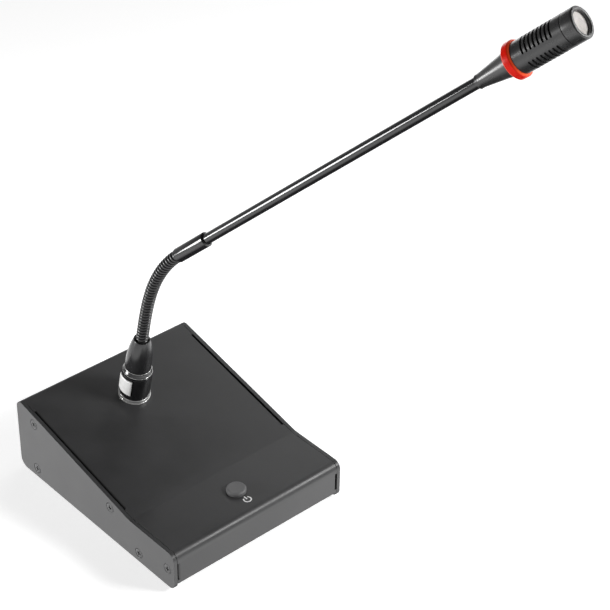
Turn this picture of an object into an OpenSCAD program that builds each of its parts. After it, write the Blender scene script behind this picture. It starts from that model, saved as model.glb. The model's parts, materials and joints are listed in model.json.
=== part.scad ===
// Paging microphone: a desk base with a talk button, a plug-in gooseneck stem
// and a slotted microphone head with a red signal ring.
// The origin is the middle of the base's underside, -Y is the front, +Z is up.

/* [Base] */
// Overall width of the base, over its side cheeks
base_w = 130; // [110:1:170]
// Overall depth of the base, front to back
base_d = 154.5; // [140:0.5:200]
// Height of the base at the back
rear_h = 52; // [46:0.2:70]
// Height of the base at the front
front_h = 26.5; // [25:0.5:34]
// Depth of the level strip at the front
level_d = 41.7; // [36:0.1:50]
// Thickness of the side cheeks
cheek_t = 2.5; // [2:0.1:3.5]
// Thickness of the folded sheet steel
sheet_t = 1.2; // [0.8:0.1:1.6]
// Outer radius of the cover's bends
bend_r = 5; // [3:0.5:8]
// Corner radius of the cheeks
cheek_corner_r = 5; // [3:0.5:7]
// Height of the cover's lower edge above the underside
cover_lift = 4.4; // [3:0.1:6]
// Depth of the flanges that the cheeks are screwed to
flange_h = 12; // [10:0.5:16]
// Radius of a foot
foot_r = 6; // [4:0.5:9]
// Height of a foot
foot_h = 1.5; // [1:0.1:4]
// Distance of a foot's middle from the base's edges
foot_in = 16; // [12:1:30]

/* [Cheek screws] */
// Thread radius of the cheek screws
screw_r = 1.5; // [1.2:0.1:2]
// Head radius of the cheek screws
screw_head_r = 3.1; // [2.6:0.1:3.6]
// Length of a cheek screw
screw_len = 9; // [7:0.5:12]
// Distance of the upper screws below the deck
screw_drop = 6.7; // [5.5:0.1:8]
// Height of the lower screws above the underside
low_screw_h = 6.6; // [5.5:0.1:8]

/* [Talk button] */
// Radius of the button
button_r = 6.2; // [4:0.1:9]
// Height of the button above the deck
button_proud = 2.8; // [2:0.1:5]
// Distance of the button's middle behind the front edge
button_in = 21.5; // [16:0.5:30]
// Travel of the button
button_travel = 1.5; // [0.5:0.1:2]

/* [Socket and plug] */
// Distance of the socket's middle in front of the back edge
socket_in = 35.2; // [28:0.1:50]
// Sideways offset of the socket from the middle
socket_x = -0.95; // [-20:0.05:20]
// Outer radius of the socket's collar
collar_r = 9.65; // [9.4:0.01:12]
// Height of the socket's collar above the deck
collar_h = 21; // [19:0.5:26]
// Radius of the plug's shell
plug_r = 8; // [6.6:0.05:8.2]
// Wall of the plug's shell
plug_wall = 0.8; // [0.6:0.1:1]
// Radius of a contact pin
pin_r = 1.2; // [1:0.05:1.3]
// Distance of the contact pins from the plug's axis
pin_ring_r = 3.55; // [3:0.05:4]
// Width of the latch tab
tab_w = 11.5; // [6:0.5:12]
// Height of the latch tab
tab_h = 12; // [8:0.5:12.5]
// Travel of the latch tab
tab_travel = 0.7; // [0.3:0.1:0.8]
// Height of the cable boot on the plug
boot_h = 23.2; // [18:0.1:35]
// Radius of the boot at its foot
boot_r = 8.3; // [8:0.1:9]
// Wall of the boot at its mouth
boot_lip = 0.65; // [0.4:0.05:1.5]

/* [Gooseneck and stem] */
// Radius of the gooseneck
neck_r = 3.9; // [3.5:0.02:5]
// Distance between the gooseneck's joints
link_len = 9.78; // [8:0.02:14]
// Lean of the stem away from the socket's axis, in degrees
stem_lean = 36.5; // [0:0.1:60]
// Direction in which the stem leans, in degrees from the front
stem_swing = 26.6; // [-60:0.1:60]
// Wall of the sleeve over the gooseneck
sleeve_wall = 0.6; // [0.5:0.1:2]
// Length of the sleeve
sleeve_len = 26.5; // [26:0.5:40]
// Radius of the stem tube
stem_r = 3.25; // [2.5:0.01:3.6]
// Wall of the stem tube
stem_wall = 0.6; // [0.4:0.1:1]
// Length of the stem tube between its sleeve and the head's cone
stem_len = 211.5; // [120:0.5:320]

/* [Head] */
// Radius of the head
head_r = 8.75; // [8:0.01:12]
// Wall of the slotted barrel
head_wall = 0.8; // [0.6:0.1:1.2]
// Length of the cone between the stem and the signal ring
cone_len = 23; // [15:0.5:30]
// Height of the signal ring above the head's surface
glow_proud = 1.35; // [1.2:0.05:3]
// Length of the signal ring
ring_len = 5; // [4:0.5:8]
// Length of the slotted barrel
barrel_len = 31.5; // [29:0.5:45]
// Length of the front cap
cap_len = 7.7; // [6:0.1:12]
// Number of slots in each row
slot_count = 8; // [3:1:8]
// Distance between slots
slot_pitch = 2.58; // [2:0.01:3]
// Width of a slot
slot_w = 1.25; // [0.8:0.05:1.5]
// Arc of a slot, in degrees
slot_arc = 91; // [60:1:100]
// Radius of the opening in the front cap
mouth_r = 6.3; // [5:0.1:6.8]

/* [Back panel] */
// Radius of the line socket's bore
jack_bore_r = 3.25; // [3.15:0.05:3.5]
// Radius of the line socket's threaded bushing
jack_bush_r = 4.75; // [4.5:0.05:6]
// Distance of the back sockets from the middle
jack_x = 24; // [16:1:40]
// Height of the back sockets above the underside
jack_h = 22; // [18:0.5:26]

/* [Hidden] */
$fn = 64;

// Steps in a rounded corner of an outline
corner_steps = 6;
// How far a cut runs past a face
over = 1;
// Clearance of a shaft or a screw in its hole
free_fit = 0.1;
// Running clearance of a ball or a pin
close_fit = 0.05;

// Base
front_y = -base_d / 2;
rear_y = base_d / 2;
kink_y = front_y + level_d;
slope = atan((rear_h - front_h) / (base_d - level_d));
cheek_gap = 0.3;
cover_x = base_w / 2 - cheek_t - cheek_gap;
fold_gap = 0.6;
flange_x = cover_x - fold_gap;
fold_front = 8;
fold_back = 15;
front_fold_low = 7;
front_fold_high = front_h - 7;
front_flange = 12;
foot_seat = 0.4;
return_d = 5.7;
lip_h = 10.5;
lip_in = return_d + 0.3;
kink_r = 8;

// Cheek screws, as places behind the front edge and above the underside
front_screw_in = 6.3;
low_screw_in = 33.7;
mid_screw_in = level_d + 19.1;
rear_screw_in = base_d - 17.6;
screw_head_h = screw_head_r - screw_r;
nut_r = 2.7;
nut_h = 2;
driver_w = 0.7;
driver_r = 1.7;
driver_depth = 1.2;

// Talk button and its board
button_y = front_y + button_in;
board_x = 44;
board_front = -68.5;
board_back = 30;
board_t = 1.6;
post_h = 5;
post_r = 2.8;
post_in = 5;
post_bore_r = 1.25;
board_low = sheet_t + post_h;
board_top = board_low + board_t;
switch_w = 12;
switch_h = 8;
switch_top = board_top + switch_h;
button_stem_r = 2;
button_rim = 1;
button_rim_h = 1;
button_reach = 5;
spring_r = 3.2;
spring_wire_r = 0.35;
spring_turns = 5;
spring_sides = 6;
spring_steps = 14;

// Socket
socket_y = rear_y - socket_in;
rim_h = 0.6;
rim_proud = 0.6;
groove_h = 0.4;
ring_h = 3;
ring_proud = 0.35;
ring_bevel = 0.25;
barrel_r = collar_r - 0.75;
socket_bore_r = plug_r + free_fit;
socket_depth = 15;
socket_nut_r = barrel_r + 3.1;
socket_nut_h = 3;
insert_r = plug_r - plug_wall - 0.3;
insert_top = 15;
contact_r = pin_r + 0.5;
contact_top = 10;
contact_tail = 4;
tab_low = 7;
tab_proud = 0.75;
tab_clear = 0.4;
tab_t = collar_r + tab_proud - plug_r - tab_travel - tab_clear;
tab_gap = 0.3;

// Plug
plug_low = 3;
pin_low = 4.5;
pin_angles = [90, 210, 330];
plug_insert_low = insert_top + 0.5;
sleeve_band_r = collar_r - 0.65;
sleeve_neck_r = boot_r - 0.15;
band_h = 0.7;
band_proud = band_h / 2;
plug_sleeve_h = 4.5;
boot_low = collar_h + plug_sleeve_h;
boot_steps = 10;
boot_curve = 2.4;
boot_mouth = 0.5;
boot_mouth_h = 3;
boot_top_r = neck_r + boot_mouth + boot_lip;

// Back panel
jack_out = 3.5;
jack_in = 8.5;
jack_body_w = 2 * jack_bush_r + 4.5;
jack_body_len = 20;
jack_nut_r = jack_bush_r + 1.85;
jack_nut_h = 2;
dc_w = 9;
dc_h = 11;
dc_depth = 14;
dc_bore_r = 2.8;
dc_pin_r = 1.05;

// Gooseneck: joint 0 is in the root piece, and the last joint is in the stem's tip piece
n_joints = 8;
bend_ease = 2.2;
ball_r = neck_r - 0.8;
waist_r = 2.2;
cup_lip = 0.5;
skirt = 2.1;
root_up = 7.7;
root_in_boot = 6;
first_joint_h = boot_low + boot_h + root_up;
tip_len = 16;
tip_gap = 4;

// Stem, measured from the last joint
sleeve_r = neck_r + sleeve_wall;
sleeve_top = tip_gap + sleeve_len;
tube_low = sleeve_top - 14;
sleeve_chamfer = 0.8;
cone_low = sleeve_top + stem_len;
cone_r = stem_r + 0.72;
cone_mid_r = head_r - 2.55;
cone_mid = 17.4;
cone_top_r = head_r - 1.35;
ring_low = cone_low + cone_len;
ring_high = ring_low + ring_len;
cap_low = ring_high + barrel_len;
face = cap_low + cap_len;
cable_r = 1.2;
spigot_r = head_r - head_wall;
ring_bore_r = spigot_r - 0.4;
spigot_in = 4;
ring_edge = 0.8;
led_board_in = 1.5;
ring_r = head_r + glow_proud;
led_board_r = ring_r - 1.35;
led_board_t = 0.8;
last_slot_back = 6.2;
slot_rows = 3;
slot_roll = -7.7;
thread_len = 4;
capsule_r = mouth_r - 0.8;
capsule_len = 6;
mesh_back = 2;
mesh_t = 0.4;
lining_gap = 0.1;
lining_t = 0.25;

// Corners and outlines
function unit(v) = v / norm(v);
function turn(a) = a > 180 ? a - 360 : (a < -180 ? a + 360 : a);
function corner(a, b, c, r) =
    r == 0 ? [b] :
    let (
        u = unit(a - b),
        w = unit(c - b),
        half = acos(u * w) / 2,
        mid = b + unit(u + w) * r / sin(half),
        from = b + u * r / tan(half) - mid,
        to = b + w * r / tan(half) - mid,
        start = atan2(from[1], from[0]),
        sweep = turn(atan2(to[1], to[0]) - start)
    )
    [for (k = [0 : corner_steps])
        mid + r * [cos(start + sweep * k / corner_steps), sin(start + sweep * k / corner_steps)]];
function rounded(p, r) =
    [for (i = [0 : len(p) - 1])
        each corner(p[(i + len(p) - 1) % len(p)], p[i], p[(i + 1) % len(p)], r[i])];
function inset(p, t) =
    [for (i = [0 : len(p) - 1])
        let (
            u = unit(p[i] - p[(i + len(p) - 1) % len(p)]),
            v = unit(p[(i + 1) % len(p)] - p[i]),
            nu = [-u[1], u[0]],
            nv = [-v[1], v[0]]
        )
        p[i] + t * (nu + nv) / (1 + nu * nv)];

// Side outline of the base, from its lower front corner round to its upper front corner
function side_outline(low) = [
    [front_y, low], [rear_y, low], [rear_y, rear_h], [kink_y, front_h], [front_y, front_h]
];
function deck_z(y) = y < kink_y ? front_h : front_h + (y - kink_y) * tan(slope);

// Gooseneck joints in the plane of the bend
function lean(i) = stem_lean * pow(i / n_joints, bend_ease);
function joint_at(i) =
    i == 0 ? [0, 0, first_joint_h] :
    joint_at(i - 1) + link_len * [0, -sin(lean(i)), cos(lean(i))];

// Extrudes an outline drawn in (y, z) from x0 to x1
module across(x0, x1) {
    translate([x0, 0, 0]) rotate([90, 0, 90]) linear_extrude(x1 - x0) children();
}
module both_sides() {
    children();
    mirror([1, 0, 0]) children();
}
// A bar along X at a place given as [y, z]
module bar(x0, x1, at, r) {
    translate([x0, at[0], at[1]]) rotate([0, 90, 0]) cylinder(r = r, h = x1 - x0);
}
// A bar along Y at a place given as [x, z]
module bar_y(y0, y1, at, r) {
    translate([at[0], y0, at[1]]) rotate([-90, 0, 0]) cylinder(r = r, h = y1 - y0);
}
module tube(r, bore, low, high) {
    difference() {
        translate([0, 0, low]) cylinder(r = r, h = high - low);
        translate([0, 0, low - over]) cylinder(r = bore, h = high - low + 2 * over);
    }
}
module on_socket() {
    translate([socket_x, socket_y, deck_z(socket_y)]) rotate([slope, 0, 0]) children();
}
// Places segment i of the gooseneck, with the joint below it at the local origin
module on_link(i) {
    on_socket() rotate([0, 0, stem_swing])
        translate(joint_at(i - 1)) rotate([lean(i), 0, 0]) children();
}
module on_stem() {
    on_link(n_joints) children();
}

upper_screws = [
    [front_y + rear_screw_in, deck_z(front_y + rear_screw_in) - screw_drop],
    [front_y + mid_screw_in, deck_z(front_y + mid_screw_in) - screw_drop],
    [front_y + front_screw_in, front_h / 2]
];
lower_screws = [
    [front_y + rear_screw_in, low_screw_h],
    [front_y + low_screw_in, low_screw_h]
];
side_screws = concat(upper_screws, lower_screws);

// Folded cover
module cover_shell() {
    outline = side_outline(cover_lift);
    difference() {
        across(-cover_x, cover_x)
            polygon(rounded(outline, [0, 0, bend_r, kink_r, bend_r]));
        across(-cover_x - over, cover_x + over)
            polygon(rounded(
                inset(side_outline(cover_lift - sheet_t - over), sheet_t),
                [0, 0, bend_r - sheet_t, kink_r + sheet_t, bend_r - sheet_t]));
    }
}
fold_y0 = kink_y + fold_front;
fold_y1 = rear_y - fold_back;
module fold_slots() {
    across(flange_x, cover_x + over)
        polygon([
            [fold_y0, deck_z(fold_y0) - flange_h], [fold_y1, deck_z(fold_y1) - flange_h],
            [fold_y1, deck_z(fold_y1) + over], [fold_y0, deck_z(fold_y0) + over]
        ]);
    translate([flange_x, front_y - over, front_fold_low])
        cube([fold_gap + over, bend_r + over, front_fold_high - front_fold_low]);
}
module fold_flanges() {
    difference() {
        union() {
            across(flange_x - sheet_t, flange_x)
                polygon([
                    [fold_y0, deck_z(fold_y0) - flange_h], [fold_y1, deck_z(fold_y1) - flange_h],
                    [fold_y1, deck_z(fold_y1) - sheet_t / 2], [fold_y0, deck_z(fold_y0) - sheet_t / 2]
                ]);
            translate([flange_x - sheet_t, front_y + sheet_t / 2, front_fold_low])
                cube([sheet_t, front_flange, front_fold_high - front_fold_low]);
        }
        for (at = upper_screws)
            bar(flange_x - sheet_t - over, flange_x + over, at, screw_r + free_fit);
    }
}
// Edges that turn inward at the foot of the front and back walls
module cover_returns() {
    for (turned = [0, 180]) rotate([0, 0, turned])
        translate([-flange_x + sheet_t, front_y + sheet_t / 2, cover_lift])
            cube([2 * (flange_x - sheet_t), return_d - sheet_t / 2, sheet_t]);
}
module deck_cover() {
    color("dimgray") union() {
        cover_returns();
        difference() {
            cover_shell();
            both_sides() fold_slots();
            translate([0, button_y, front_h - 2 * sheet_t])
                cylinder(r = button_r + 2 * free_fit, h = 3 * sheet_t);
            on_socket() translate([0, 0, -2 * sheet_t])
                cylinder(r = barrel_r + free_fit, h = 3 * sheet_t);
            bar_y(rear_y - 2 * sheet_t, rear_y + over, [jack_x, jack_h], jack_bush_r + free_fit);
            translate([-jack_x - dc_w / 2, rear_y - 2 * sheet_t, jack_h - dc_h / 2])
                cube([dc_w, 3 * sheet_t, dc_h]);
        }
        both_sides() fold_flanges();
    }
}

module at_feet() {
    for (sx = [-1, 1], sy = [-1, 1])
        translate([sx * (base_w / 2 - foot_in), sy * (base_d / 2 - foot_in), 0]) children();
}

// Bottom plate with upturned lips and shallow seats for the feet
module bottom_plate() {
    inner_y = rear_y - lip_in;
    lip_y = 58;
    color("dimgray") difference() {
        union() {
            translate([-flange_x, -inner_y, 0]) cube([2 * flange_x, 2 * inner_y, sheet_t]);
            both_sides() translate([flange_x - sheet_t, -lip_y, 0]) cube([sheet_t, 2 * lip_y + 4, lip_h]);
            for (y = [-inner_y, inner_y - sheet_t])
                translate([-lip_y, y, 0]) cube([2 * lip_y, sheet_t, lip_h]);
        }
        both_sides() for (at = lower_screws)
            bar(flange_x - sheet_t - over, flange_x + over, at, screw_r + free_fit);
        at_feet() translate([0, 0, -over]) cylinder(r = foot_r + free_fit, h = foot_seat + over);
    }
}

// Side cheeks with countersunk holes
module cheek(side) {
    mirror([side < 0 ? 1 : 0, 0, 0]) difference() {
        across(base_w / 2 - cheek_t, base_w / 2)
            polygon(rounded(side_outline(0),
                [cheek_corner_r, cheek_corner_r + 1, cheek_corner_r, kink_r, cheek_corner_r]));
        for (at = side_screws) {
            bar(base_w / 2 - cheek_t - over, base_w / 2 + over, at, screw_r + free_fit);
            translate([base_w / 2, at[0], at[1]]) rotate([0, -90, 0])
                cylinder(r1 = screw_head_r, r2 = screw_r, h = screw_head_h);
        }
    }
}
module cheek_left() {
    color("dimgray") cheek(-1);
}
module cheek_right() {
    color("dimgray") cheek(1);
}

module cheek_screw() {
    difference() {
        union() {
            rotate([0, -90, 0]) cylinder(r1 = screw_head_r, r2 = screw_r, h = screw_head_h);
            rotate([0, -90, 0]) cylinder(r = screw_r, h = screw_len);
        }
        for (a = [0, 90]) rotate([a, 0, 0])
            translate([-driver_depth, -driver_r, -driver_w / 2])
                cube([driver_depth + over, 2 * driver_r, driver_w]);
    }
}
module cheek_screws(side) {
    mirror([side < 0 ? 1 : 0, 0, 0])
        for (at = side_screws) translate([base_w / 2, at[0], at[1]]) cheek_screw();
}
module cheek_screws_left() {
    color("silver") cheek_screws(-1);
}
module cheek_screws_right() {
    color("silver") cheek_screws(1);
}
module clinch_nuts() {
    color("silver") both_sides() for (at = side_screws)
        difference() {
            bar(flange_x - sheet_t - nut_h, flange_x - sheet_t, at, nut_r);
            bar(flange_x - sheet_t - nut_h - over, flange_x, at, screw_r + close_fit);
        }
}

module feet() {
    color("black") at_feet() translate([0, 0, -foot_h]) cylinder(r = foot_r, h = foot_h + foot_seat);
}

// Circuit board on its posts
post_places = [for (x = [-board_x + post_in, board_x - post_in],
    y = [board_front + post_in, board_back - post_in]) [x, y]];
module circuit_board() {
    color("darkgreen") difference() {
        translate([-board_x, board_front, board_low])
            cube([2 * board_x, board_back - board_front, board_t]);
        for (p = post_places) translate([p[0], p[1], board_low - over])
            cylinder(r = post_bore_r + free_fit, h = board_t + 2 * over);
    }
}
module board_posts() {
    color("silver") for (p = post_places) translate([p[0], p[1], 0])
        tube(post_r, post_bore_r + close_fit, sheet_t, board_low);
}
module board_screws() {
    head_r = 2.4;
    head_h = 1.8;
    reach = 5;
    color("silver") for (p = post_places) translate([p[0], p[1], board_top]) {
        difference() {
            union() {
                cylinder(r = head_r, h = head_h);
                translate([0, 0, -reach]) cylinder(r = post_bore_r, h = reach + head_h / 2);
            }
            for (a = [0, 90]) rotate([0, 0, a])
                translate([-driver_r, -driver_w / 2, head_h - driver_depth / 2])
                    cube([2 * driver_r, driver_w, driver_depth]);
        }
    }
}
// Chips, each given as [x, y, width, depth, height]
chips = [[-20, -30, 18, 8, 3.2], [12, -32, 10, 10, 1.8], [-8, 4, 7, 10, 2.4], [20, -6, 16, 8, 3.2]];
module board_chips() {
    color("black") for (c = chips)
        translate([c[0], c[1], board_top]) cube([c[2], c[3], c[4]]);
}
// Capacitors, each given as [x, y, radius, height]
cans = [[-32, 12, 4, 11], [-22, 16, 3.2, 9], [34, 14, 4, 11], [-32, -10, 2.5, 7], [6, -12, 2.5, 7]];
module board_capacitors() {
    color("navy") for (c = cans)
        translate([c[0], c[1], board_top]) cylinder(r = c[2], h = c[3]);
}

// Talk button, its spring and its switch
rim_top = front_h - sheet_t - free_fit;
module button_cap() {
    edge = 1;
    inner = rim_top - button_rim_h;
    color([0.16, 0.16, 0.17]) translate([0, button_y, 0]) union() {
        rotate_extrude() polygon(concat(
            [[0, inner], [button_r + button_rim, inner], [button_r + button_rim, rim_top],
                [button_r, rim_top]],
            [for (k = [0 : corner_steps])
                [button_r - edge + edge * cos(90 * k / corner_steps),
                    front_h + button_proud - edge + edge * sin(90 * k / corner_steps)]],
            [[0, front_h + button_proud]]));
        translate([0, 0, switch_top - button_reach])
            cylinder(r = button_stem_r, h = inner - switch_top + button_reach + button_rim_h / 2);
    }
}
function coil_point(k, j) =
    let (
        a = 360 * k / spring_steps,
        b = 360 * j / spring_sides,
        r = spring_r + spring_wire_r * cos(b),
        rise = (rim_top - button_rim_h - switch_top - 2 * spring_wire_r - 2 * close_fit)
            / (spring_turns * spring_steps)
    )
    [r * cos(a), r * sin(a), switch_top + close_fit + spring_wire_r * (1 + sin(b)) + rise * k];
module button_spring() {
    last = spring_turns * spring_steps;
    points = [for (k = [0 : last], j = [0 : spring_sides - 1]) coil_point(k, j)];
    walls = [for (k = [0 : last - 1], j = [0 : spring_sides - 1])
        let (n = spring_sides, a = k * n + j, b = k * n + (j + 1) % n)
        each [[a, b, b + n], [a, b + n, a + n]]];
    ends = [
        [for (j = [0 : spring_sides - 1]) spring_sides - 1 - j],
        [for (j = [0 : spring_sides - 1]) last * spring_sides + j]
    ];
    color("silver") translate([0, button_y, 0]) polyhedron(points, concat(walls, ends));
}
module button_switch() {
    color("black") translate([0, button_y, 0]) difference() {
        translate([-switch_w / 2, -switch_w / 2, board_top]) cube([switch_w, switch_w, switch_h]);
        translate([0, 0, switch_top - button_reach - button_travel - over])
            cylinder(r = button_stem_r + free_fit, h = button_reach + button_travel + 2 * over);
    }
}

// Sockets in the back wall
module line_jack_bushing() {
    color("silver") difference() {
        bar_y(rear_y - sheet_t - jack_in, rear_y + jack_out, [jack_x, jack_h], jack_bush_r);
        bar_y(rear_y - sheet_t - jack_in - over, rear_y + jack_out + over,
            [jack_x, jack_h], jack_bore_r);
    }
}
module line_jack_body() {
    body_y = rear_y - sheet_t;
    color("black") difference() {
        translate([jack_x - jack_body_w / 2, body_y - jack_body_len, jack_h - jack_body_w / 2])
            cube([jack_body_w, jack_body_len, jack_body_w]);
        bar_y(body_y - jack_in, body_y + over, [jack_x, jack_h], jack_bush_r);
        bar_y(body_y - jack_body_len + over, body_y, [jack_x, jack_h], jack_bore_r);
    }
}
module line_jack_nut() {
    color("silver") difference() {
        translate([jack_x, rear_y, jack_h]) rotate([-90, 0, 0])
            cylinder(r = jack_nut_r, h = jack_nut_h, $fn = 6);
        bar_y(rear_y - over, rear_y + jack_nut_h + over, [jack_x, jack_h], jack_bush_r + close_fit);
    }
}
module dc_inlet() {
    color("black") difference() {
        translate([-jack_x - dc_w / 2 + free_fit, rear_y + 0.5 - dc_depth, jack_h - dc_h / 2 + free_fit])
            cube([dc_w - 2 * free_fit, dc_depth, dc_h - 2 * free_fit]);
        bar_y(rear_y - dc_depth + 3, rear_y + over, [-jack_x, jack_h], dc_bore_r);
    }
}
module dc_pin() {
    color("silver") bar_y(rear_y - dc_depth + 3, rear_y - 1, [-jack_x, jack_h], dc_pin_r);
}

// Plug-in socket on the deck
module latch_window(extra) {
    translate([-collar_r - over, -tab_w / 2 - extra, tab_low - extra])
        cube([collar_r, tab_w + 2 * extra, tab_h + 2 * extra]);
}
module socket_shell() {
    color([0.1, 0.1, 0.1]) on_socket() difference() {
        union() {
            cylinder(r = collar_r, h = collar_h);
            translate([0, 0, -socket_depth]) cylinder(r = barrel_r, h = socket_depth + over);
        }
        translate([0, 0, -socket_depth + over]) cylinder(r = socket_bore_r, h = socket_depth + collar_h);
        translate([0, 0, -socket_depth - over]) cylinder(r = insert_r, h = 3 * over);
        latch_window(tab_gap);
    }
}
module socket_ring() {
    r = collar_r + ring_proud;
    bore = collar_r + close_fit;
    color("silver") on_socket() rotate_extrude() polygon([
        [bore, 0], [collar_r + rim_proud, 0], [collar_r + rim_proud, rim_h], [r - ring_bevel, rim_h],
        [r - ring_bevel, rim_h + groove_h], [r, rim_h + groove_h],
        [r, ring_h - ring_bevel], [r - ring_bevel, ring_h], [bore, ring_h]
    ]);
}
module socket_nut() {
    color("silver") on_socket() difference() {
        translate([0, 0, -sheet_t - socket_nut_h]) cylinder(r = socket_nut_r, h = socket_nut_h, $fn = 6);
        translate([0, 0, -sheet_t - socket_nut_h - over])
            cylinder(r = barrel_r + close_fit, h = socket_nut_h + 2 * over);
    }
}
module at_pins() {
    for (a = pin_angles) rotate([0, 0, a]) translate([pin_ring_r, 0, 0]) children();
}
module socket_insert() {
    color("black") on_socket() difference() {
        translate([0, 0, -socket_depth]) cylinder(r = insert_r, h = socket_depth + insert_top);
        at_pins() translate([0, 0, -socket_depth - over])
            cylinder(r = contact_r, h = socket_depth + contact_top + over);
        at_pins() cylinder(r = pin_r + free_fit, h = insert_top + over);
    }
}
module socket_contacts() {
    color("gold") on_socket() at_pins() difference() {
        translate([0, 0, -socket_depth - contact_tail])
            cylinder(r = contact_r, h = socket_depth + contact_tail + contact_top);
        translate([0, 0, pin_low - 2 * over]) cylinder(r = pin_r + close_fit, h = contact_top);
    }
}
module latch_tab() {
    outer = collar_r + tab_proud;
    color("gainsboro") on_socket() intersection() {
        tube(outer, outer - tab_t, tab_low, tab_low + tab_h);
        translate([-outer - over, -tab_w / 2, tab_low]) cube([outer, tab_w, tab_h]);
    }
}

// Plug at the foot of the gooseneck
module plug_shell() {
    color([0.1, 0.1, 0.1]) on_socket() tube(plug_r, plug_r - plug_wall, plug_low, collar_h + band_h);
}
module plug_insert() {
    color("black") on_socket() difference() {
        translate([0, 0, plug_insert_low])
            cylinder(r = plug_r - plug_wall, h = collar_h - plug_insert_low);
        at_pins() translate([0, 0, plug_insert_low - over]) cylinder(r = pin_r, h = collar_h);
    }
}
module plug_pins() {
    color("gold") on_socket() at_pins() translate([0, 0, pin_low])
        cylinder(r = pin_r, h = collar_h + over - pin_low);
}
module plug_sleeve() {
    color([0.1, 0.1, 0.1]) on_socket() rotate_extrude() polygon([
        [plug_r, collar_h + close_fit], [sleeve_band_r, collar_h + close_fit],
        [sleeve_band_r, collar_h + 2 * band_h], [sleeve_neck_r, boot_low - 2 * band_h],
        [sleeve_neck_r, boot_low], [plug_r, boot_low]
    ]);
}
module plug_rings() {
    places = [[sleeve_band_r, collar_h + band_h], [sleeve_neck_r, boot_low - band_h]];
    color("silver") on_socket() for (at = places)
        tube(at[0] + band_proud, at[0], at[1], at[1] + band_proud);
}
module boot() {
    curve = [for (k = [0 : boot_steps])
        let (t = k / boot_steps)
        [boot_r - (boot_r - boot_top_r) * pow(t, boot_curve), boot_low + boot_h * t]];
    color([0.12, 0.12, 0.12]) on_socket() difference() {
        rotate_extrude() polygon(concat([[0, boot_low]], curve, [[0, boot_low + boot_h]]));
        translate([0, 0, boot_low + boot_h - root_in_boot]) cylinder(r = neck_r, h = root_in_boot + over);
        translate([0, 0, boot_low + boot_h - boot_mouth_h])
            cylinder(r = neck_r + boot_mouth, h = boot_mouth_h + over);
        translate([0, 0, boot_low - over]) cylinder(r = cable_r + over, h = boot_h);
    }
}

// Gooseneck, as short segments that turn on balls
module neck_cup(low, joint_h) {
    difference() {
        translate([0, 0, low]) cylinder(r = neck_r, h = joint_h + cup_lip - low);
        translate([0, 0, joint_h]) sphere(r = ball_r + close_fit);
    }
}
module neck_ball() {
    sphere(r = ball_r);
    cylinder(r = waist_r, h = skirt + over);
}
module neck_root() {
    color([0.1, 0.1, 0.1]) on_socket() rotate([0, 0, stem_swing])
        neck_cup(boot_low + boot_h - root_in_boot, first_joint_h);
}
module neck_link(i) {
    color([0.1, 0.1, 0.1]) on_link(i) union() {
        neck_ball();
        neck_cup(skirt, link_len);
    }
}
module neck_tip() {
    color([0.1, 0.1, 0.1]) on_stem() union() {
        neck_ball();
        translate([0, 0, skirt]) cylinder(r = neck_r, h = tip_len - skirt);
    }
}

// Stem
module stem_sleeve() {
    color([0.1, 0.1, 0.1]) on_stem() difference() {
        rotate_extrude() polygon([
            [0, tip_gap], [sleeve_r - sleeve_chamfer, tip_gap],
            [sleeve_r, tip_gap + sleeve_chamfer], [sleeve_r, sleeve_top - sleeve_chamfer],
            [sleeve_r - sleeve_chamfer, sleeve_top], [0, sleeve_top]
        ]);
        translate([0, 0, -over]) cylinder(r = neck_r, h = tip_len + over);
        translate([0, 0, tube_low]) cylinder(r = stem_r, h = sleeve_top);
        translate([0, 0, tip_len - over]) cylinder(r = cable_r + free_fit, h = sleeve_top);
    }
}
module stem_tube() {
    color([0.1, 0.1, 0.1]) on_stem() tube(stem_r, stem_r - stem_wall, tube_low, cone_low + 6);
}
module stem_cable() {
    color([0.25, 0.25, 0.25]) on_stem() translate([0, 0, tip_len])
        cylinder(r = cable_r, h = ring_high + spigot_in - tip_len);
}

// Head
module head_cone() {
    color([0.15, 0.15, 0.15]) on_stem() difference() {
        rotate_extrude() polygon([
            [0, cone_low], [cone_r, cone_low], [cone_r, cone_low + 2], [cone_mid_r, cone_low + cone_mid],
            [cone_top_r, ring_low], [ring_bore_r - free_fit, ring_low], [ring_bore_r - free_fit, ring_high],
            [spigot_r, ring_high], [spigot_r, ring_high + spigot_in], [0, ring_high + spigot_in]
        ]);
        translate([0, 0, cone_low - over]) cylinder(r = stem_r, h = 6 + over);
        translate([0, 0, cone_low]) cylinder(r = cable_r + free_fit, h = cone_len + ring_len + 6);
    }
}
module led_ring() {
    color("red") on_stem() difference() {
        rotate_extrude() polygon([
            [ring_bore_r, ring_low], [ring_r - ring_edge, ring_low], [ring_r, ring_low + ring_edge],
            [ring_r, ring_high - ring_edge], [ring_r - ring_edge, ring_high], [ring_bore_r, ring_high]
        ]);
        translate([0, 0, ring_low + led_board_in])
            cylinder(r = led_board_r + free_fit, h = ring_len - 2 * led_board_in);
    }
}
module led_board() {
    color("white") on_stem() translate([0, 0, ring_low + led_board_in]) {
        tube(led_board_r, ring_bore_r, 0, led_board_t);
        for (a = [0 : 60 : 300]) rotate([0, 0, a])
            translate([spigot_r, -0.6, led_board_t]) cube([led_board_r - spigot_r, 1.2, 0.8]);
    }
}
module slot_cut(z) {
    translate([0, 0, z]) rotate([0, 0, slot_roll - slot_arc / 2])
        rotate_extrude(angle = slot_arc)
            translate([head_r - head_wall - over, -slot_w / 2]) square([head_wall + 2 * over, slot_w]);
}
module head_barrel() {
    color([0.2, 0.2, 0.2]) on_stem() difference() {
        tube(head_r, spigot_r, ring_high, cap_low);
        for (row = [0 : slot_rows - 1], k = [0 : slot_count - 1])
            rotate([0, 0, row * 360 / slot_rows])
                slot_cut(cap_low - last_slot_back - k * slot_pitch);
    }
}
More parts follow.
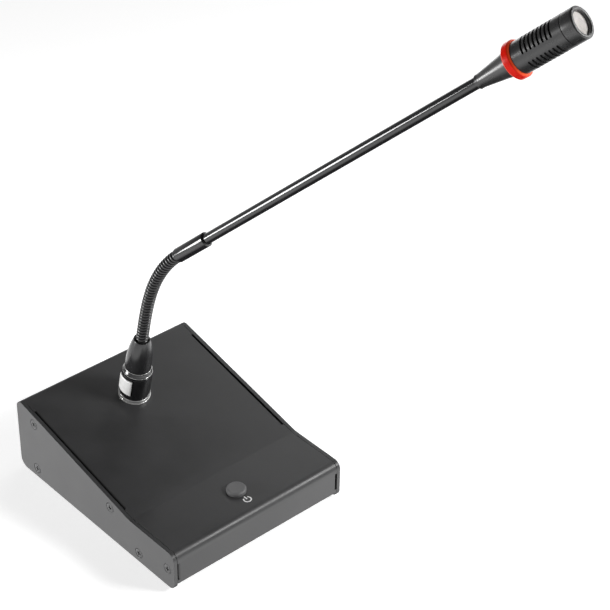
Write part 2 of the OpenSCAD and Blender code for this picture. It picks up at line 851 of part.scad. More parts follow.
module head_screen() {
    r = spigot_r - lining_gap;
    color([0.05, 0.05, 0.05]) on_stem()
        tube(r, r - lining_t, ring_high + spigot_in, cap_low - thread_len);
}
module capsule() {
    color("silver") on_stem() translate([0, 0, cap_low - 3]) cylinder(r = capsule_r, h = capsule_len);
}
module capsule_mount() {
    color("black") on_stem() tube(mouth_r, capsule_r, cap_low - 3.5, cap_low + 2);
}
module front_cap() {
    wall = 1.2;
    color([0.2, 0.2, 0.2]) on_stem() difference() {
        union() {
            translate([0, 0, cap_low]) cylinder(r = head_r, h = cap_len - 0.5);
            translate([0, 0, face - 0.5]) cylinder(r1 = head_r, r2 = head_r - 0.5, h = 0.5);
            translate([0, 0, cap_low - thread_len]) cylinder(r = spigot_r, h = thread_len + over);
        }
        translate([0, 0, cap_low - thread_len - over])
            cylinder(r = mouth_r, h = cap_len + thread_len + 2 * over);
        translate([0, 0, cap_low - thread_len - over])
            cylinder(r = head_r - wall, h = over + 0.5);
        translate([0, 0, face - mesh_back - mesh_t]) cylinder(r = mouth_r + 0.5, h = mesh_t);
    }
}
module front_mesh() {
    color("lightgray") on_stem() translate([0, 0, face - mesh_back - mesh_t])
        cylinder(r = mouth_r + 0.5, h = mesh_t);
}

deck_cover();
bottom_plate();
cheek_left();
cheek_right();
feet();
cheek_screws_left();
cheek_screws_right();
clinch_nuts();
circuit_board();
board_posts();
board_screws();
board_chips();
board_capacitors();
button_cap();
button_spring();
button_switch();
line_jack_bushing();
line_jack_body();
line_jack_nut();
dc_inlet();
dc_pin();
socket_shell();
socket_ring();
socket_nut();
socket_insert();
socket_contacts();
latch_tab();
plug_shell();
plug_insert();
plug_pins();
plug_sleeve();
plug_rings();
boot();
neck_root();
for (i = [1 : n_joints - 1])
    neck_link(i);
neck_tip();
stem_sleeve();
stem_tube();
stem_cable();
head_cone();
led_ring();
led_board();
head_barrel();
head_screen();
capsule();
capsule_mount();
front_cap();
front_mesh();
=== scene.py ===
"""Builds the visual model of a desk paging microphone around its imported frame."""

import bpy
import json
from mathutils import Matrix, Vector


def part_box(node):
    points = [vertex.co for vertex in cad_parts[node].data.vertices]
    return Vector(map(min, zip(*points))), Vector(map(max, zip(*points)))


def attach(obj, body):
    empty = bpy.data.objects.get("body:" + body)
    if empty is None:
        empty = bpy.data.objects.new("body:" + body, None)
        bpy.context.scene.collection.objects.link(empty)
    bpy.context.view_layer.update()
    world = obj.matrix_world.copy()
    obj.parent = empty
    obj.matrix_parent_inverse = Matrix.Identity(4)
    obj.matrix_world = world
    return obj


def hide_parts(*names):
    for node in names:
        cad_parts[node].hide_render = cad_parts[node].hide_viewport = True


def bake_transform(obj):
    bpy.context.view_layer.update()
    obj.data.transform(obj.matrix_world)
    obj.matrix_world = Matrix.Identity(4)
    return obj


bl_info = {
    "name": "Paging microphone",
    "version": (1, 0, 0),
    "blender": (4, 5, 0),
    "location": "View3D > Sidebar > Paging mic",
    "description": "Sloped steel base, talk button, plug-in gooseneck stem and slotted head",
    "category": "Add Mesh",
}

import json
import math
import random

import bmesh
import bpy
from bpy.props import FloatProperty, FloatVectorProperty, IntProperty, PointerProperty
from mathutils import Matrix, Vector

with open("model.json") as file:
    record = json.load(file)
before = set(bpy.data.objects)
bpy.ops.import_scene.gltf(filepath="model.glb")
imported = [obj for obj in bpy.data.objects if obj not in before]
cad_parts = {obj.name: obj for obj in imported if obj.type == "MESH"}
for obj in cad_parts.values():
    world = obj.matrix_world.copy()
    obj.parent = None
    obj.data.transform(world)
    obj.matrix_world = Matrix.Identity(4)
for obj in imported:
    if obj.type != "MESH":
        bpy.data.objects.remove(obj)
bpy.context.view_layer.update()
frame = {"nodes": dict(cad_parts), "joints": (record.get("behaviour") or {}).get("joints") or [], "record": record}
RECORD = frame["record"]
JOINTS = {joint["name"]: joint for joint in frame["joints"]}
MOUNTS = {mount["name"]: mount for mount in RECORD["mounts"]}
SLOTS = {part["node"]: part["material_slot"] for part in RECORD["subparts"]}
FLOOR_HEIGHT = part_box("feet")[0].z
TINY = 1e-7
HAIR = 0.00005  # gap between faces that only just part
CUT = 0.004  # how far a hole's cutter reaches to either side
MIRROR = Matrix.Diagonal((-1, 1, 1, 1))


# Property helpers

def size(name, description, default):
    return FloatProperty(name=name, description=description, default=default,
                         min=0.0, precision=5, unit="LENGTH")


def offset(name, description, default):
    return FloatProperty(name=name, description=description, default=default,
                         precision=5, unit="LENGTH")


def angle(name, description, default):
    return FloatProperty(name=name, description=description, default=math.radians(default),
                         subtype="ANGLE", unit="ROTATION")


def power(name, description, default):
    return FloatProperty(name=name, description=description, default=default, min=0.0)


def tint(name, description, default):
    return FloatVectorProperty(name=name, description=description, default=default,
                               size=3, min=0.0, max=1.0, subtype="COLOR")


def count(name, description, default):
    return IntProperty(name=name, description=description, default=default, min=1)


class BaseSizes(bpy.types.PropertyGroup):
    width: size("Width", "Overall width over the side cheeks", 0.130)
    depth: size("Depth", "Overall depth, front to back", 0.1545)
    rear_height: size("Rear height", "Height at the back", 0.052)
    front_height: size("Front height", "Height at the front", 0.0265)
    level_depth: size("Level strip", "Depth of the level strip at the front", 0.0417)
    cheek: size("Cheek thickness", "Thickness of the side cheeks", 0.0025)
    cheek_gap: size("Cheek gap", "Gap between the cover and a cheek", 0.0003)
    sheet: size("Sheet thickness", "Thickness of the folded steel", 0.0012)
    bend: size("Bend radius", "Outer radius of the cover's bends", 0.005)
    ease: size("Deck bend", "Radius where the slope meets the level strip", 0.008)
    lift: size("Cover lift", "Height of the cover's lower edge", 0.0044)
    turn_in: size("Turned edge", "Depth of the edges turned inward at the cover's foot", 0.0057)
    fold_gap: size("Fold gap", "How far the folded edge stands back", 0.0006)
    fold_front: size("Fold start", "Distance of the side fold behind the deck bend", 0.008)
    fold_back: size("Fold end", "Distance of the side fold from the back", 0.015)
    fold_depth: size("Fold depth", "Depth of the side folds", 0.012)
    fold_radius: size("Fold radius", "Outer radius of the side folds", 0.0014)
    front_low: size("Front fold", "Distance of the front folds from either edge", 0.007)
    edge: size("Edge rounding", "Small rounding of cut steel edges", 0.00042)
    screw_head: size("Screw head", "Radius of a cheek screw's head", 0.0031)
    screw_thread: size("Screw thread", "Radius of a cheek screw's thread", 0.0015)
    screw_length: size("Screw length", "Length of a cheek screw", 0.009)
    screw_drop: size("Upper screws", "Distance of the upper screws below the deck", 0.0067)
    low_screw: size("Lower screws", "Height of the lower screws", 0.0066)


class ControlSizes(bpy.types.PropertyGroup):
    button: size("Button radius", "Radius of the talk button", 0.0062)
    button_proud: size("Button height", "Height of the button above the deck", 0.0028)
    button_in: size("Button place", "Distance of the button behind the front edge", 0.0215)
    mark: size("Power mark radius", "Radius of the printed power mark's ring", 0.0023)
    mark_stroke: size("Power mark stroke", "Width of the printed line", 0.00078)
    mark_in: size("Power mark place", "Distance of the mark behind the front edge", 0.0112)
    jack_x: offset("Back sockets", "Sideways place of the back sockets", 0.024)
    jack_height: size("Back socket height", "Height of the back sockets", 0.022)
    jack_bush: size("Bushing radius", "Radius of the line socket's bushing", 0.00475)
    jack_bore: size("Bushing bore", "Bore of the line socket", 0.00325)
    jack_nut: size("Nut radius", "Radius of the line socket's nut over its corners", 0.0066)


class SocketSizes(bpy.types.PropertyGroup):
    collar: size("Collar radius", "Outer radius of the collar", 0.00965)
    collar_height: size("Collar height", "Height of the collar above the deck", 0.021)
    plug: size("Plug radius", "Radius of the plug in the collar", 0.008)
    band_height: size("Plug band", "Height of the band between collar and boot", 0.0045)
    boot: size("Boot foot", "Radius of the boot at its foot", 0.0083)
    boot_top: size("Boot mouth", "Radius of the boot at its mouth", 0.00505)
    boot_height: size("Boot height", "Height of the boot", 0.0232)
    root_rise: size("Neck root", "Height of the first joint above the boot", 0.0077)
    tab_width: size("Latch width", "Width of the latch tab", 0.0115)
    tab_height: size("Latch height", "Height of the latch tab", 0.012)
    tab_low: size("Latch place", "Height of the latch tab above the deck", 0.007)


class StemSizes(bpy.types.PropertyGroup):
    neck: size("Gooseneck radius", "Radius over the gooseneck's winding", 0.0039)
    pitch: size("Winding pitch", "Distance between the turns of the winding", 0.00238)
    groove: size("Winding groove", "Depth of the grooves between turns", 0.0012)
    sleeve: size("Sleeve radius", "Radius of the sleeve", 0.0045)
    sleeve_low: size("Sleeve start", "Distance of the sleeve above the last joint", 0.004)
    sleeve_length: size("Sleeve length", "Length of the sleeve", 0.0265)
    tube: size("Stem radius", "Radius of the stem tube", 0.00325)
    length: size("Stem length", "Length of the tube between sleeve and cone", 0.2115)
    cone_foot: size("Cone foot", "Radius of the cone where it takes the tube", 0.00397)
    cone_top: size("Cone top", "Radius of the cone at the signal ring", 0.0074)
    cone_length: size("Cone length", "Length of the cone", 0.023)


class HeadSizes(bpy.types.PropertyGroup):
    radius: size("Head radius", "Outer radius of the head", 0.00875)
    wall: size("Barrel wall", "Wall of the slotted barrel", 0.0008)
    ring: size("Signal ring radius", "Outer radius of the signal ring", 0.0101)
    ring_length: size("Signal ring length", "Length of the signal ring", 0.005)
    barrel: size("Barrel length", "Length of the slotted barrel", 0.0315)
    cap: size("Cap length", "Length of the front cap", 0.0077)
    slots: count("Slots", "Number of slots in each row", 8)
    rows: count("Rows", "Number of rows of slots", 3)
    slot_pitch: size("Slot distance", "Distance between slots", 0.00258)
    slot_width: size("Slot width", "Width of a slot", 0.00125)
    slot_back: size("Slot place", "Distance of the last slot behind the cap", 0.0062)
    slot_arc: angle("Slot arc", "Arc of a slot", 91)
    slot_roll: angle("Slot turn", "Turn of the rows about the head's axis", -7.7)
    mouth: size("Mouth radius", "Radius of the opening in the cap", 0.0063)
    mouth_depth: size("Mouth depth", "Depth of the mesh behind the face", 0.002)
    mesh_pitch: size("Mesh pitch", "Distance between the mesh's wires", 0.00048)
    wire: size("Wire radius", "Radius of a wire of the mesh", 0.00011)


class Finishes(bpy.types.PropertyGroup):
    coat: tint("Powder coat", "Colour of the base's coat", (0.036, 0.036, 0.037))
    lacquer: tint("Lacquer", "Colour of the stem's lacquer", (0.012, 0.012, 0.013))
    winding: tint("Winding", "Colour of the gooseneck", (0.012, 0.012, 0.0125))
    moulding: tint("Moulding", "Colour of the boot", (0.018, 0.018, 0.019))
    button: tint("Button", "Colour of the talk button", (0.135, 0.135, 0.137))
    head: tint("Head", "Colour of the head's lacquer", (0.024, 0.024, 0.0245))
    signal: tint("Signal", "Colour of the signal ring", (0.46, 0.006, 0.001))
    signal_edge: tint("Signal edge", "Colour of the signal ring's edges", (0.70, 0.07, 0.02))
    nickel: tint("Nickel", "Colour of the plating", (0.74, 0.74, 0.73))
    mesh: tint("Mesh", "Colour of the wire mesh", (0.90, 0.87, 0.85))
    ink: tint("Ink", "Colour of the printed mark", (0.86, 0.86, 0.86))
    glow: power("Signal light", "Strength of the signal ring's own light", 0.32)


class Studio(bpy.types.PropertyGroup):
    floor: tint("Floor", "Colour of the floor", (0.86, 0.86, 0.86))
    floor_light: power("Floor light", "Light that the floor gives by itself", 0.62)
    surround: power("Surround", "Strength of the studio's surround", 2.08)
    lens: FloatProperty(name="Lens", description="Focal length of the camera",
                        default=112.47, min=1.0, unit="CAMERA")
    camera: FloatVectorProperty(name="Camera", description="Place of the camera",
                                default=(-0.5573, -0.7295, 0.7701), unit="LENGTH")
    turn: angle("Turn", "Turn of the camera about the object", -42.183)
    rise: angle("Rise", "Height of the camera above the horizon", 34.812)
    roll: angle("Roll", "Roll of the camera", 0.868)


GROUPS = {
    "paging_base": BaseSizes,
    "paging_controls": ControlSizes,
    "paging_socket": SocketSizes,
    "paging_stem": StemSizes,
    "paging_head": HeadSizes,
    "paging_finishes": Finishes,
    "paging_studio": Studio,
}


# Places

def placed(origin, x, z):
    """A matrix whose local X and Z point along x and z."""
    z = Vector(z).normalized()
    y = z.cross(Vector(x)).normalized()
    x = y.cross(z)
    matrix = Matrix((x, y, z)).transposed().to_4x4()
    matrix.translation = Vector(origin)
    return matrix


def socket_place(scene):
    """The socket's foot on the deck, with Z along its axis."""
    sizes = scene.paging_socket
    axis = Vector(JOINTS["mic_unplug"]["axis"]).normalized()
    rise = sizes.collar_height + sizes.band_height + sizes.boot_height + sizes.root_rise
    foot = Vector(JOINTS["neck_bend"]["pos_m"]) - axis * rise
    return placed(foot, (1, 0, 0), axis)


def stem_place():
    """The gooseneck's last joint, with Z along the stem."""
    return placed(JOINTS["neck_sway_4"]["pos_m"], JOINTS["neck_bend"]["axis"],
                  MOUNTS["windscreen_seat"]["axis"])


def head_levels(scene):
    """Heights along the stem: cone foot, ring foot, ring top, cap foot and face."""
    stem, head = scene.paging_stem, scene.paging_head
    cone = stem.sleeve_low + stem.sleeve_length + stem.length
    ring = cone + stem.cone_length
    barrel = ring + head.ring_length
    cap = barrel + head.barrel
    return cone, ring, barrel, cap, cap + head.cap


# Outlines and meshes

def eased(points, radii, steps=5, closed=True):
    """Rounds the corners of an outline with arcs."""
    points = [Vector(p) for p in points]
    if not hasattr(radii, "__len__"):
        radii = [radii] * len(points)
    rounded = []
    for i, point in enumerate(points):
        before, after = points[i - 1], points[(i + 1) % len(points)]
        radius = radii[i]
        end = not closed and i in (0, len(points) - 1)
        if end or radius <= 0 or abs(point.x) < TINY:
            rounded.append(point)
            continue
        u, w = before - point, after - point
        half = u.angle(w) / 2
        reach = min(radius / math.tan(half), 0.48 * u.length, 0.48 * w.length)
        if half > math.radians(88):
            rounded.append(point)
            continue
        radius = reach * math.tan(half)
        centre = point + (u.normalized() + w.normalized()).normalized() * radius / math.sin(half)
        start = point + u.normalized() * reach - centre
        stop = point + w.normalized() * reach - centre
        sweep = math.pi - 2 * half
        for k in range(steps + 1):
            t = k / steps
            rounded.append(centre + (start * math.sin((1 - t) * sweep)
                                     + stop * math.sin(t * sweep)) / math.sin(sweep))
    return rounded


def lathe(outline, steps=96, closed=True):
    """Turns an outline of (radius, height) about Z."""
    verts, rings, faces = [], [], []
    for radius, height in outline:
        if radius < TINY:
            rings.append([len(verts)])
            verts.append((0, 0, height))
            continue
        rings.append(list(range(len(verts), len(verts) + steps)))
        for k in range(steps):
            turn = 2 * math.pi * k / steps
            verts.append((radius * math.cos(turn), radius * math.sin(turn), height))
    following = rings[1:] + ([rings[0]] if closed else [])
    for a, b in zip(rings, following):
        for k in range(steps):
            n = (k + 1) % steps
            if len(a) > 1 and len(b) > 1:
                faces.append((a[k], a[n], b[n], b[k]))
            elif len(a) > 1:
                faces.append((a[k], a[n], b[0]))
            elif len(b) > 1:
                faces.append((a[0], b[n], b[k]))
    return verts, faces


def drill(radius, steps, low=-CUT, high=CUT):
    """A round cutter along Z."""
    return lathe([(0, low), (radius, low), (radius, high), (0, high)], steps)


def prism(outline, low, high, axis="x"):
    """Carries an outline along X as (y, z), or along Z as (x, y)."""
    if axis == "x":
        verts = [(x, p[0], p[1]) for x in (low, high) for p in outline]
    else:
        verts = [(p[0], p[1], z) for z in (low, high) for p in outline]
    n = len(outline)
    faces = [tuple(range(n)), tuple(range(2 * n - 1, n - 1, -1))]
    faces += [(k, (k + 1) % n, n + (k + 1) % n, n + k) for k in range(n)]
    return verts, faces


def block(low, high):
    return prism([(low[1], low[2]), (high[1], low[2]), (high[1], high[2]), (low[1], high[2])],
                 low[0], high[0])


def moved(mesh, matrix):
    verts, faces = mesh
    return [tuple(matrix @ Vector(v)) for v in verts], faces


def joined(*meshes):
    verts, faces = [], []
    for some, those in meshes:
        start = len(verts)
        verts += some
        faces += [tuple(i + start for i in face) for face in those]
    return verts, faces


def mesh_from(name, mesh):
    """A mesh with doubled points merged and faces turned outward."""
    data = bpy.data.meshes.new(name)
    data.from_pydata(mesh[0], [], mesh[1])
    work = bmesh.new()
    work.from_mesh(data)
    bmesh.ops.remove_doubles(work, verts=work.verts, dist=TINY)
    bmesh.ops.recalc_face_normals(work, faces=work.faces)
    work.to_mesh(data)
    work.free()
    return data


def carve(mesh, cutters):
    """Cuts meshes out of a mesh and returns the result as a new mesh."""
    scene = bpy.context.scene
    work = bpy.data.objects.new("carving", mesh_from("carving", mesh))
    scene.collection.objects.link(work)
    tool = bpy.data.objects.new("cutter", mesh_from("cutter", joined(*cutters)))
    scene.collection.objects.link(tool)
    cut = work.modifiers.new("cut", "BOOLEAN")
    cut.operation = "DIFFERENCE"
    cut.solver = "EXACT"
    cut.use_self = True
    cut.object = tool
    bpy.context.view_layer.update()
    graph = bpy.context.evaluated_depsgraph_get()
    data = work.evaluated_get(graph).to_mesh()
    result = ([tuple(v.co) for v in data.vertices], [tuple(f.vertices) for f in data.polygons])
    bpy.data.objects.remove(work)
    bpy.data.objects.remove(tool)
    return result


def piece(name, mesh, finish, place=None, body=None, nodes=(), sharp=38):
    """Makes a piece, gives it its finish and says what it rides on and stands for."""
    data = mesh_from(name, mesh)
    data.shade_smooth()
    data.set_sharp_from_angle(angle=math.radians(sharp))
    made = bpy.data.objects.new(name, data)
    bpy.context.scene.collection.objects.link(made)
    if place is not None:
        made.matrix_world = place
    data.materials.append(finish)
    if nodes:
        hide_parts(*nodes)
    if body:
        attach(made, body)
    return made


def soften_edges(made, width, steps=2, limit=50):
    """Rounds the sharp edges of a piece."""
    bevel = made.modifiers.new("edges", "BEVEL")
    bevel.width = width
    bevel.segments = steps
    bevel.limit_method = "ANGLE"
    bevel.angle_limit = math.radians(limit)
    bevel.use_clamp_overlap = True
    bevel.harden_normals = True


# Finishes

class Finish:
    """A node material as it is put together."""

    def __init__(self, name, **settings):
        self.material = bpy.data.materials.new(name)
        self.material.use_nodes = True
        self.tree = self.material.node_tree
        self.shader = self.tree.nodes["Principled BSDF"]
        self.place = self.add("ShaderNodeTexCoord").outputs["Object"]
        for socket, value in settings.items():
            self.give(self.shader, socket.replace("_", " "), value)

    def give(self, node, socket, value):
        target = node.inputs[socket]
        if isinstance(value, bpy.types.NodeSocket):
            self.tree.links.new(value, target)
        elif hasattr(value, "__len__") and target.type == "RGBA":
            target.default_value = tuple(value)[:3] + (1.0,)
        else:
            target.default_value = value

    def add(self, kind, settings=None, **inputs):
        node = self.tree.nodes.new(kind)
        for key, value in (settings or {}).items():
            setattr(node, key, value)
        for socket, value in inputs.items():
            self.give(node, socket.replace("_", " "), value)
        return node

    def stretched(self, scale):
        return self.add("ShaderNodeMapping", Vector=self.place, Scale=scale).outputs["Vector"]

    def grain(self, length, detail=2.0, roughness=0.5, stretch=None):
        """Soft noise whose features are about length across."""
        where = self.stretched(stretch) if stretch else self.place
        return self.add("ShaderNodeTexNoise", Vector=where, Scale=1 / length, Detail=detail,
                        Roughness=roughness).outputs["Fac"]

    def spread(self, value, low, high, start=0.3, stop=0.7):
        node = self.add("ShaderNodeMapRange", Value=value)
        for socket, level in (("From Min", start), ("From Max", stop),
                              ("To Min", low), ("To Max", high)):
            node.inputs[socket].default_value = level
        return node.outputs["Result"]

    def math(self, kind, a, b=0.0):
        node = self.add("ShaderNodeMath", {"operation": kind})
        self.give(node, 0, a)
        self.give(node, 1, b)
        return node.outputs[0]

    def blend(self, factor, a, b):
        node = self.add("ShaderNodeMix", {"data_type": "RGBA"})
        self.give(node, 0, factor)
        self.give(node, 6, a)
        self.give(node, 7, b)
        return node.outputs[2]

    def wear_and_highlight_edges(self, radius=0.0004):
        """1 on outer edges and corners, 0 on flat faces; used to paint edges paler, partly as wear and partly as a
        painted highlight.
        """
        soft = self.add("ShaderNodeBevel", {"samples": 4}, Radius=radius).outputs["Normal"]
        plain = self.add("ShaderNodeNewGeometry").outputs["Normal"]
        node = self.add("ShaderNodeVectorMath", {"operation": "DOT_PRODUCT"})
        self.give(node, 0, soft)
        self.give(node, 1, plain)
        return self.spread(node.outputs["Value"], 0.0, 1.0, start=0.995, stop=0.90)

    def raise_by(self, height, depth):
        """Bump of the given real depth."""
        node = self.add("ShaderNodeBump", Height=height, Distance=depth, Strength=1.0)
        self.give(self.shader, "Normal", node.outputs["Normal"])

    def colour(self, value):
        self.give(self.shader, "Base Color", value)

    def rough(self, value):
        self.give(self.shader, "Roughness", value)


def scaled(colour, factor):
    return tuple(min(1.0, c * factor) for c in tuple(colour)[:3])


def coated(name, colour, rough=(0.37, 0.45), texture=0.00055, depth=0.000010, edge_wear_and_highlight=2.6):
    """Fine-textured satin powder coat with its edges painted paler: partly rubbed wear, partly a painted
    highlight.
    """
    finish = Finish(name, Specular_IOR_Level=0.5)
    fine = finish.grain(texture, 3.0, 0.6)
    cloud = finish.grain(0.022, 3.0)
    body = finish.blend(finish.spread(cloud, 0.0, 1.0), scaled(colour, 0.90), scaled(colour, 1.10))
    speck = finish.spread(finish.grain(0.0011, 2.0), 0.0, 0.10, 0.62, 0.75)
    body = finish.blend(speck, body, scaled(colour, 2.0))
    # Paler edges: partly rubbed wear, partly a painted highlight on the bends and cut edges.
    edge = finish.math("MULTIPLY", finish.wear_and_highlight_edges(), finish.spread(cloud, 0.35, 0.8))
    finish.colour(finish.blend(edge, body, scaled(colour, edge_wear_and_highlight)))
    finish.rough(finish.spread(finish.math("ADD", cloud, finish.spread(fine, -0.06, 0.06)), *rough))
    finish.raise_by(fine, depth)
    return finish.material


def lacquered(name, colour, rough=(0.09, 0.12), depth=0.00000012, edge_wear_and_highlight=2.0):
    """Smooth lacquer on metal with faint orange peel and edges painted paler: partly wear, partly a painted
    highlight.
    """
    finish = Finish(name, Specular_IOR_Level=0.55)
    peel = finish.grain(0.0009, 2.0)
    cloud = finish.grain(0.012, 3.0)
    body = finish.blend(finish.spread(cloud, 0.0, 1.0), scaled(colour, 0.85), scaled(colour, 1.15))
    # Edges painted paler: partly wear, partly a painted highlight.
    finish.colour(finish.blend(finish.math("MULTIPLY", finish.wear_and_highlight_edges(0.0003), 0.5), body,
                               scaled(colour, edge_wear_and_highlight)))
    scuff = finish.grain(0.0012, 3.0, 0.6, stretch=(3.0, 3.0, 0.5))
    finish.rough(finish.math("ADD", finish.spread(cloud, *rough), finish.spread(scuff, 0, 0.02)))
    finish.raise_by(peel, depth)
    return finish.material


def moulded(name, colour, rough=(0.50, 0.60), texture=0.0003, depth=0.000012):
    """Moulded plastic or rubber with a fine eroded texture."""
    finish = Finish(name, Specular_IOR_Level=0.45)
    fine = finish.grain(texture, 3.0, 0.65)
    cloud = finish.grain(0.009, 3.0)
    body = finish.blend(finish.spread(cloud, 0.0, 1.0), scaled(colour, 0.88), scaled(colour, 1.12))
    # Edges painted paler: partly wear, partly a painted highlight.
    finish.colour(finish.blend(finish.math("MULTIPLY", finish.wear_and_highlight_edges(0.0003), 0.4), body,
                               scaled(colour, 1.9)))
    finish.rough(finish.spread(cloud, *rough))
    finish.raise_by(fine, depth)
    return finish.material


def plated(name, colour, rough=(0.10, 0.20), depth=0.0000012, brushed=(0.6, 0.6, 30.0),
           metal=1.0):
    """Plated metal with faint turning marks and dull patches."""
    finish = Finish(name, Metallic=metal)
    marks = finish.grain(0.0009, 3.0, 0.6, stretch=brushed)
    cloud = finish.grain(0.006, 4.0, 0.6)
    finish.colour(finish.blend(finish.spread(cloud, 0.0, 1.0), scaled(colour, 0.90),
                               scaled(colour, 1.04)))
    finish.rough(finish.math("ADD", finish.spread(cloud, *rough), finish.spread(marks, 0, 0.06)))
    finish.raise_by(marks, depth)
    return finish.material


def signal_plastic(name, finishes, length):
    """Red translucent plastic, lit from inside and paler where light leaves its edges."""
    finish = Finish(name, Roughness=0.28, IOR=1.22)
    split = finish.add("ShaderNodeSeparateXYZ", Vector=finish.place)
    from_middle = finish.math("ABSOLUTE", split.outputs["Z"])
    edge = finish.spread(from_middle, 0.0, 1.0, length * 0.34, length * 0.47)
    cloud = finish.grain(0.004, 2.0)
    red = finish.blend(finish.spread(cloud, 0.0, 1.0), scaled(finishes.signal, 0.92),
                       scaled(finishes.signal, 1.08))
    tone = finish.blend(edge, red, tuple(finishes.signal_edge))
    finish.colour(tone)
    finish.give(finish.shader, "Emission Color", tone)
    finish.shader.inputs["Emission Strength"].default_value = finishes.glow
    finish.rough(finish.spread(cloud, 0.24, 0.33))
    finish.raise_by(finish.grain(0.0006, 2.0), 0.0000015)
    return finish.material


def solder_mask(name, colour):
    """Glossy solder mask over a net of copper tracks."""
    finish = Finish(name, Coat_Weight=0.4, Coat_Roughness=0.15)
    tracks = finish.add("ShaderNodeTexBrick", {"offset": 0.37}, Vector=finish.place,
                        Scale=180.0).outputs["Fac"]
    cloud = finish.grain(0.01, 3.0)
    finish.colour(finish.blend(tracks, scaled(colour, 0.9), scaled(colour, 1.5)))
    finish.rough(finish.spread(cloud, 0.32, 0.42))
    finish.raise_by(tracks, 0.00003)
    return finish.material


def woven_cloth(name, colour):
    """Fine acoustic cloth or felt."""
    finish = Finish(name, Specular_IOR_Level=0.2)
    warp = finish.add("ShaderNodeTexWave", {"bands_direction": "Z"}, Vector=finish.place,
                      Scale=900.0, Distortion=0.6).outputs["Fac"]
    weft = finish.add("ShaderNodeTexWave", {"bands_direction": "DIAGONAL"}, Vector=finish.place,
                      Scale=900.0, Distortion=0.6).outputs["Fac"]
    weave = finish.math("MULTIPLY", warp, weft)
    finish.colour(finish.blend(weave, scaled(colour, 0.6), scaled(colour, 1.6)))
    finish.rough(finish.spread(weave, 0.8, 0.95, 0.0, 1.0))
    finish.raise_by(weave, 0.00006)
    return finish.material


def printed(name, colour):
    """Screen-printed ink."""
    finish = Finish(name, Specular_IOR_Level=0.4)
    cloud = finish.grain(0.0012, 3.0)
    finish.colour(finish.blend(finish.spread(cloud, 0.0, 1.0), scaled(colour, 0.93), tuple(colour)))
    finish.rough(finish.spread(cloud, 0.5, 0.62))
    finish.raise_by(finish.grain(0.0003, 2.0), 0.000004)
    return finish.material


def make_finishes(finishes):
    """All finishes by the record's slot names."""
    table = {
        "powder_coat": coated("powder_coat", finishes.coat),
        # Screw heads: the coat a little paler and the edges much paler, as painted glints, with some wear on the
        # edges.
        "screw_steel": coated("screw_steel", scaled(finishes.coat, 1.25), (0.36, 0.46), edge_wear_and_highlight=4.5),
        "foot_rubber": moulded("foot_rubber", (0.02, 0.02, 0.02), (0.7, 0.8),
                               texture=0.0006, depth=0.00002),
        "zinc_steel": plated("zinc_steel", (0.55, 0.55, 0.53), (0.28, 0.40)),
        "circuit_green": solder_mask("circuit_green", (0.02, 0.12, 0.05)),
        "component_black": moulded("component_black", (0.022, 0.022, 0.022), (0.45, 0.6)),
        "capacitor_sleeve": moulded("capacitor_sleeve", (0.02, 0.03, 0.09), (0.28, 0.36),
                                    depth=0.000003),
        "button_plastic": moulded("button_plastic", finishes.button, (0.50, 0.60)),
        "nickel": plated("nickel", finishes.nickel, (0.14, 0.22), metal=0.72),
        "latch_nickel": plated("latch_nickel", (0.93, 0.93, 0.92), (0.38, 0.46),
                               depth=0.000002, brushed=(0.5, 30.0, 0.5), metal=0.3),
        "contact_gold": plated("contact_gold", (0.80, 0.60, 0.25), (0.18, 0.28)),
        "black_metal": lacquered("black_metal", finishes.lacquer),
        "cone_lacquer": lacquered("cone_lacquer", finishes.head, (0.24, 0.30), depth=0.0000006),
        "boot_rubber": moulded("boot_rubber", finishes.moulding, (0.20, 0.27),
                               texture=0.0005, depth=0.000002),
        "gooseneck_black": lacquered("gooseneck_black", finishes.winding, (0.20, 0.27)),
        "cable_jacket": moulded("cable_jacket", (0.03, 0.03, 0.03), (0.6, 0.7)),
        "signal_red": signal_plastic("signal_red", finishes,
                                     bpy.context.scene.paging_head.ring_length),
        "led_board_white": printed("led_board_white", (0.75, 0.75, 0.72)),
        "head_metal": coated("head_metal", finishes.head, (0.23, 0.29),
                             texture=0.0004, depth=0.000002, edge_wear_and_highlight=2.2),
        "lining_black": woven_cloth("lining_black", (0.012, 0.012, 0.012)),
        "capsule_steel": plated("capsule_steel", (0.6, 0.6, 0.6), (0.25, 0.35)),
        "mesh_steel": plated("mesh_steel", finishes.mesh, (0.35, 0.5), metal=0.5),
        "print": printed("print", finishes.ink),
        "felt": woven_cloth("felt", (0.88, 0.86, 0.84)),
    }
    return table


FINISH = {}


# Base

def deck_line(sizes):
    """Depth of the deck's bend, the slope as a tangent, and the deck's height at a depth."""
    bend = -sizes.depth / 2 + sizes.level_depth
    slope = (sizes.rear_height - sizes.front_height) / (sizes.depth - sizes.level_depth)
    return bend, slope, lambda y: sizes.front_height + max(0.0, y - bend) * slope


def screw_places(sizes):
    """Places of a cheek's screws as (depth, height)."""
    front = -sizes.depth / 2
    deck = deck_line(sizes)[2]
    back, middle = front + sizes.depth - 0.0176, front + sizes.level_depth + 0.0191
    return [
        (back, deck(back) - sizes.screw_drop),
        (middle, deck(middle) - sizes.screw_drop),
        (front + 0.0063, sizes.front_height / 2),
        (back, sizes.low_screw),
        (front + 0.0337, sizes.low_screw),
    ]


def cover_edges(sizes):
    """Half the cover's width, and half the width over its folded edges."""
    outer = sizes.width / 2 - sizes.cheek - sizes.cheek_gap
    return outer, outer - sizes.fold_gap


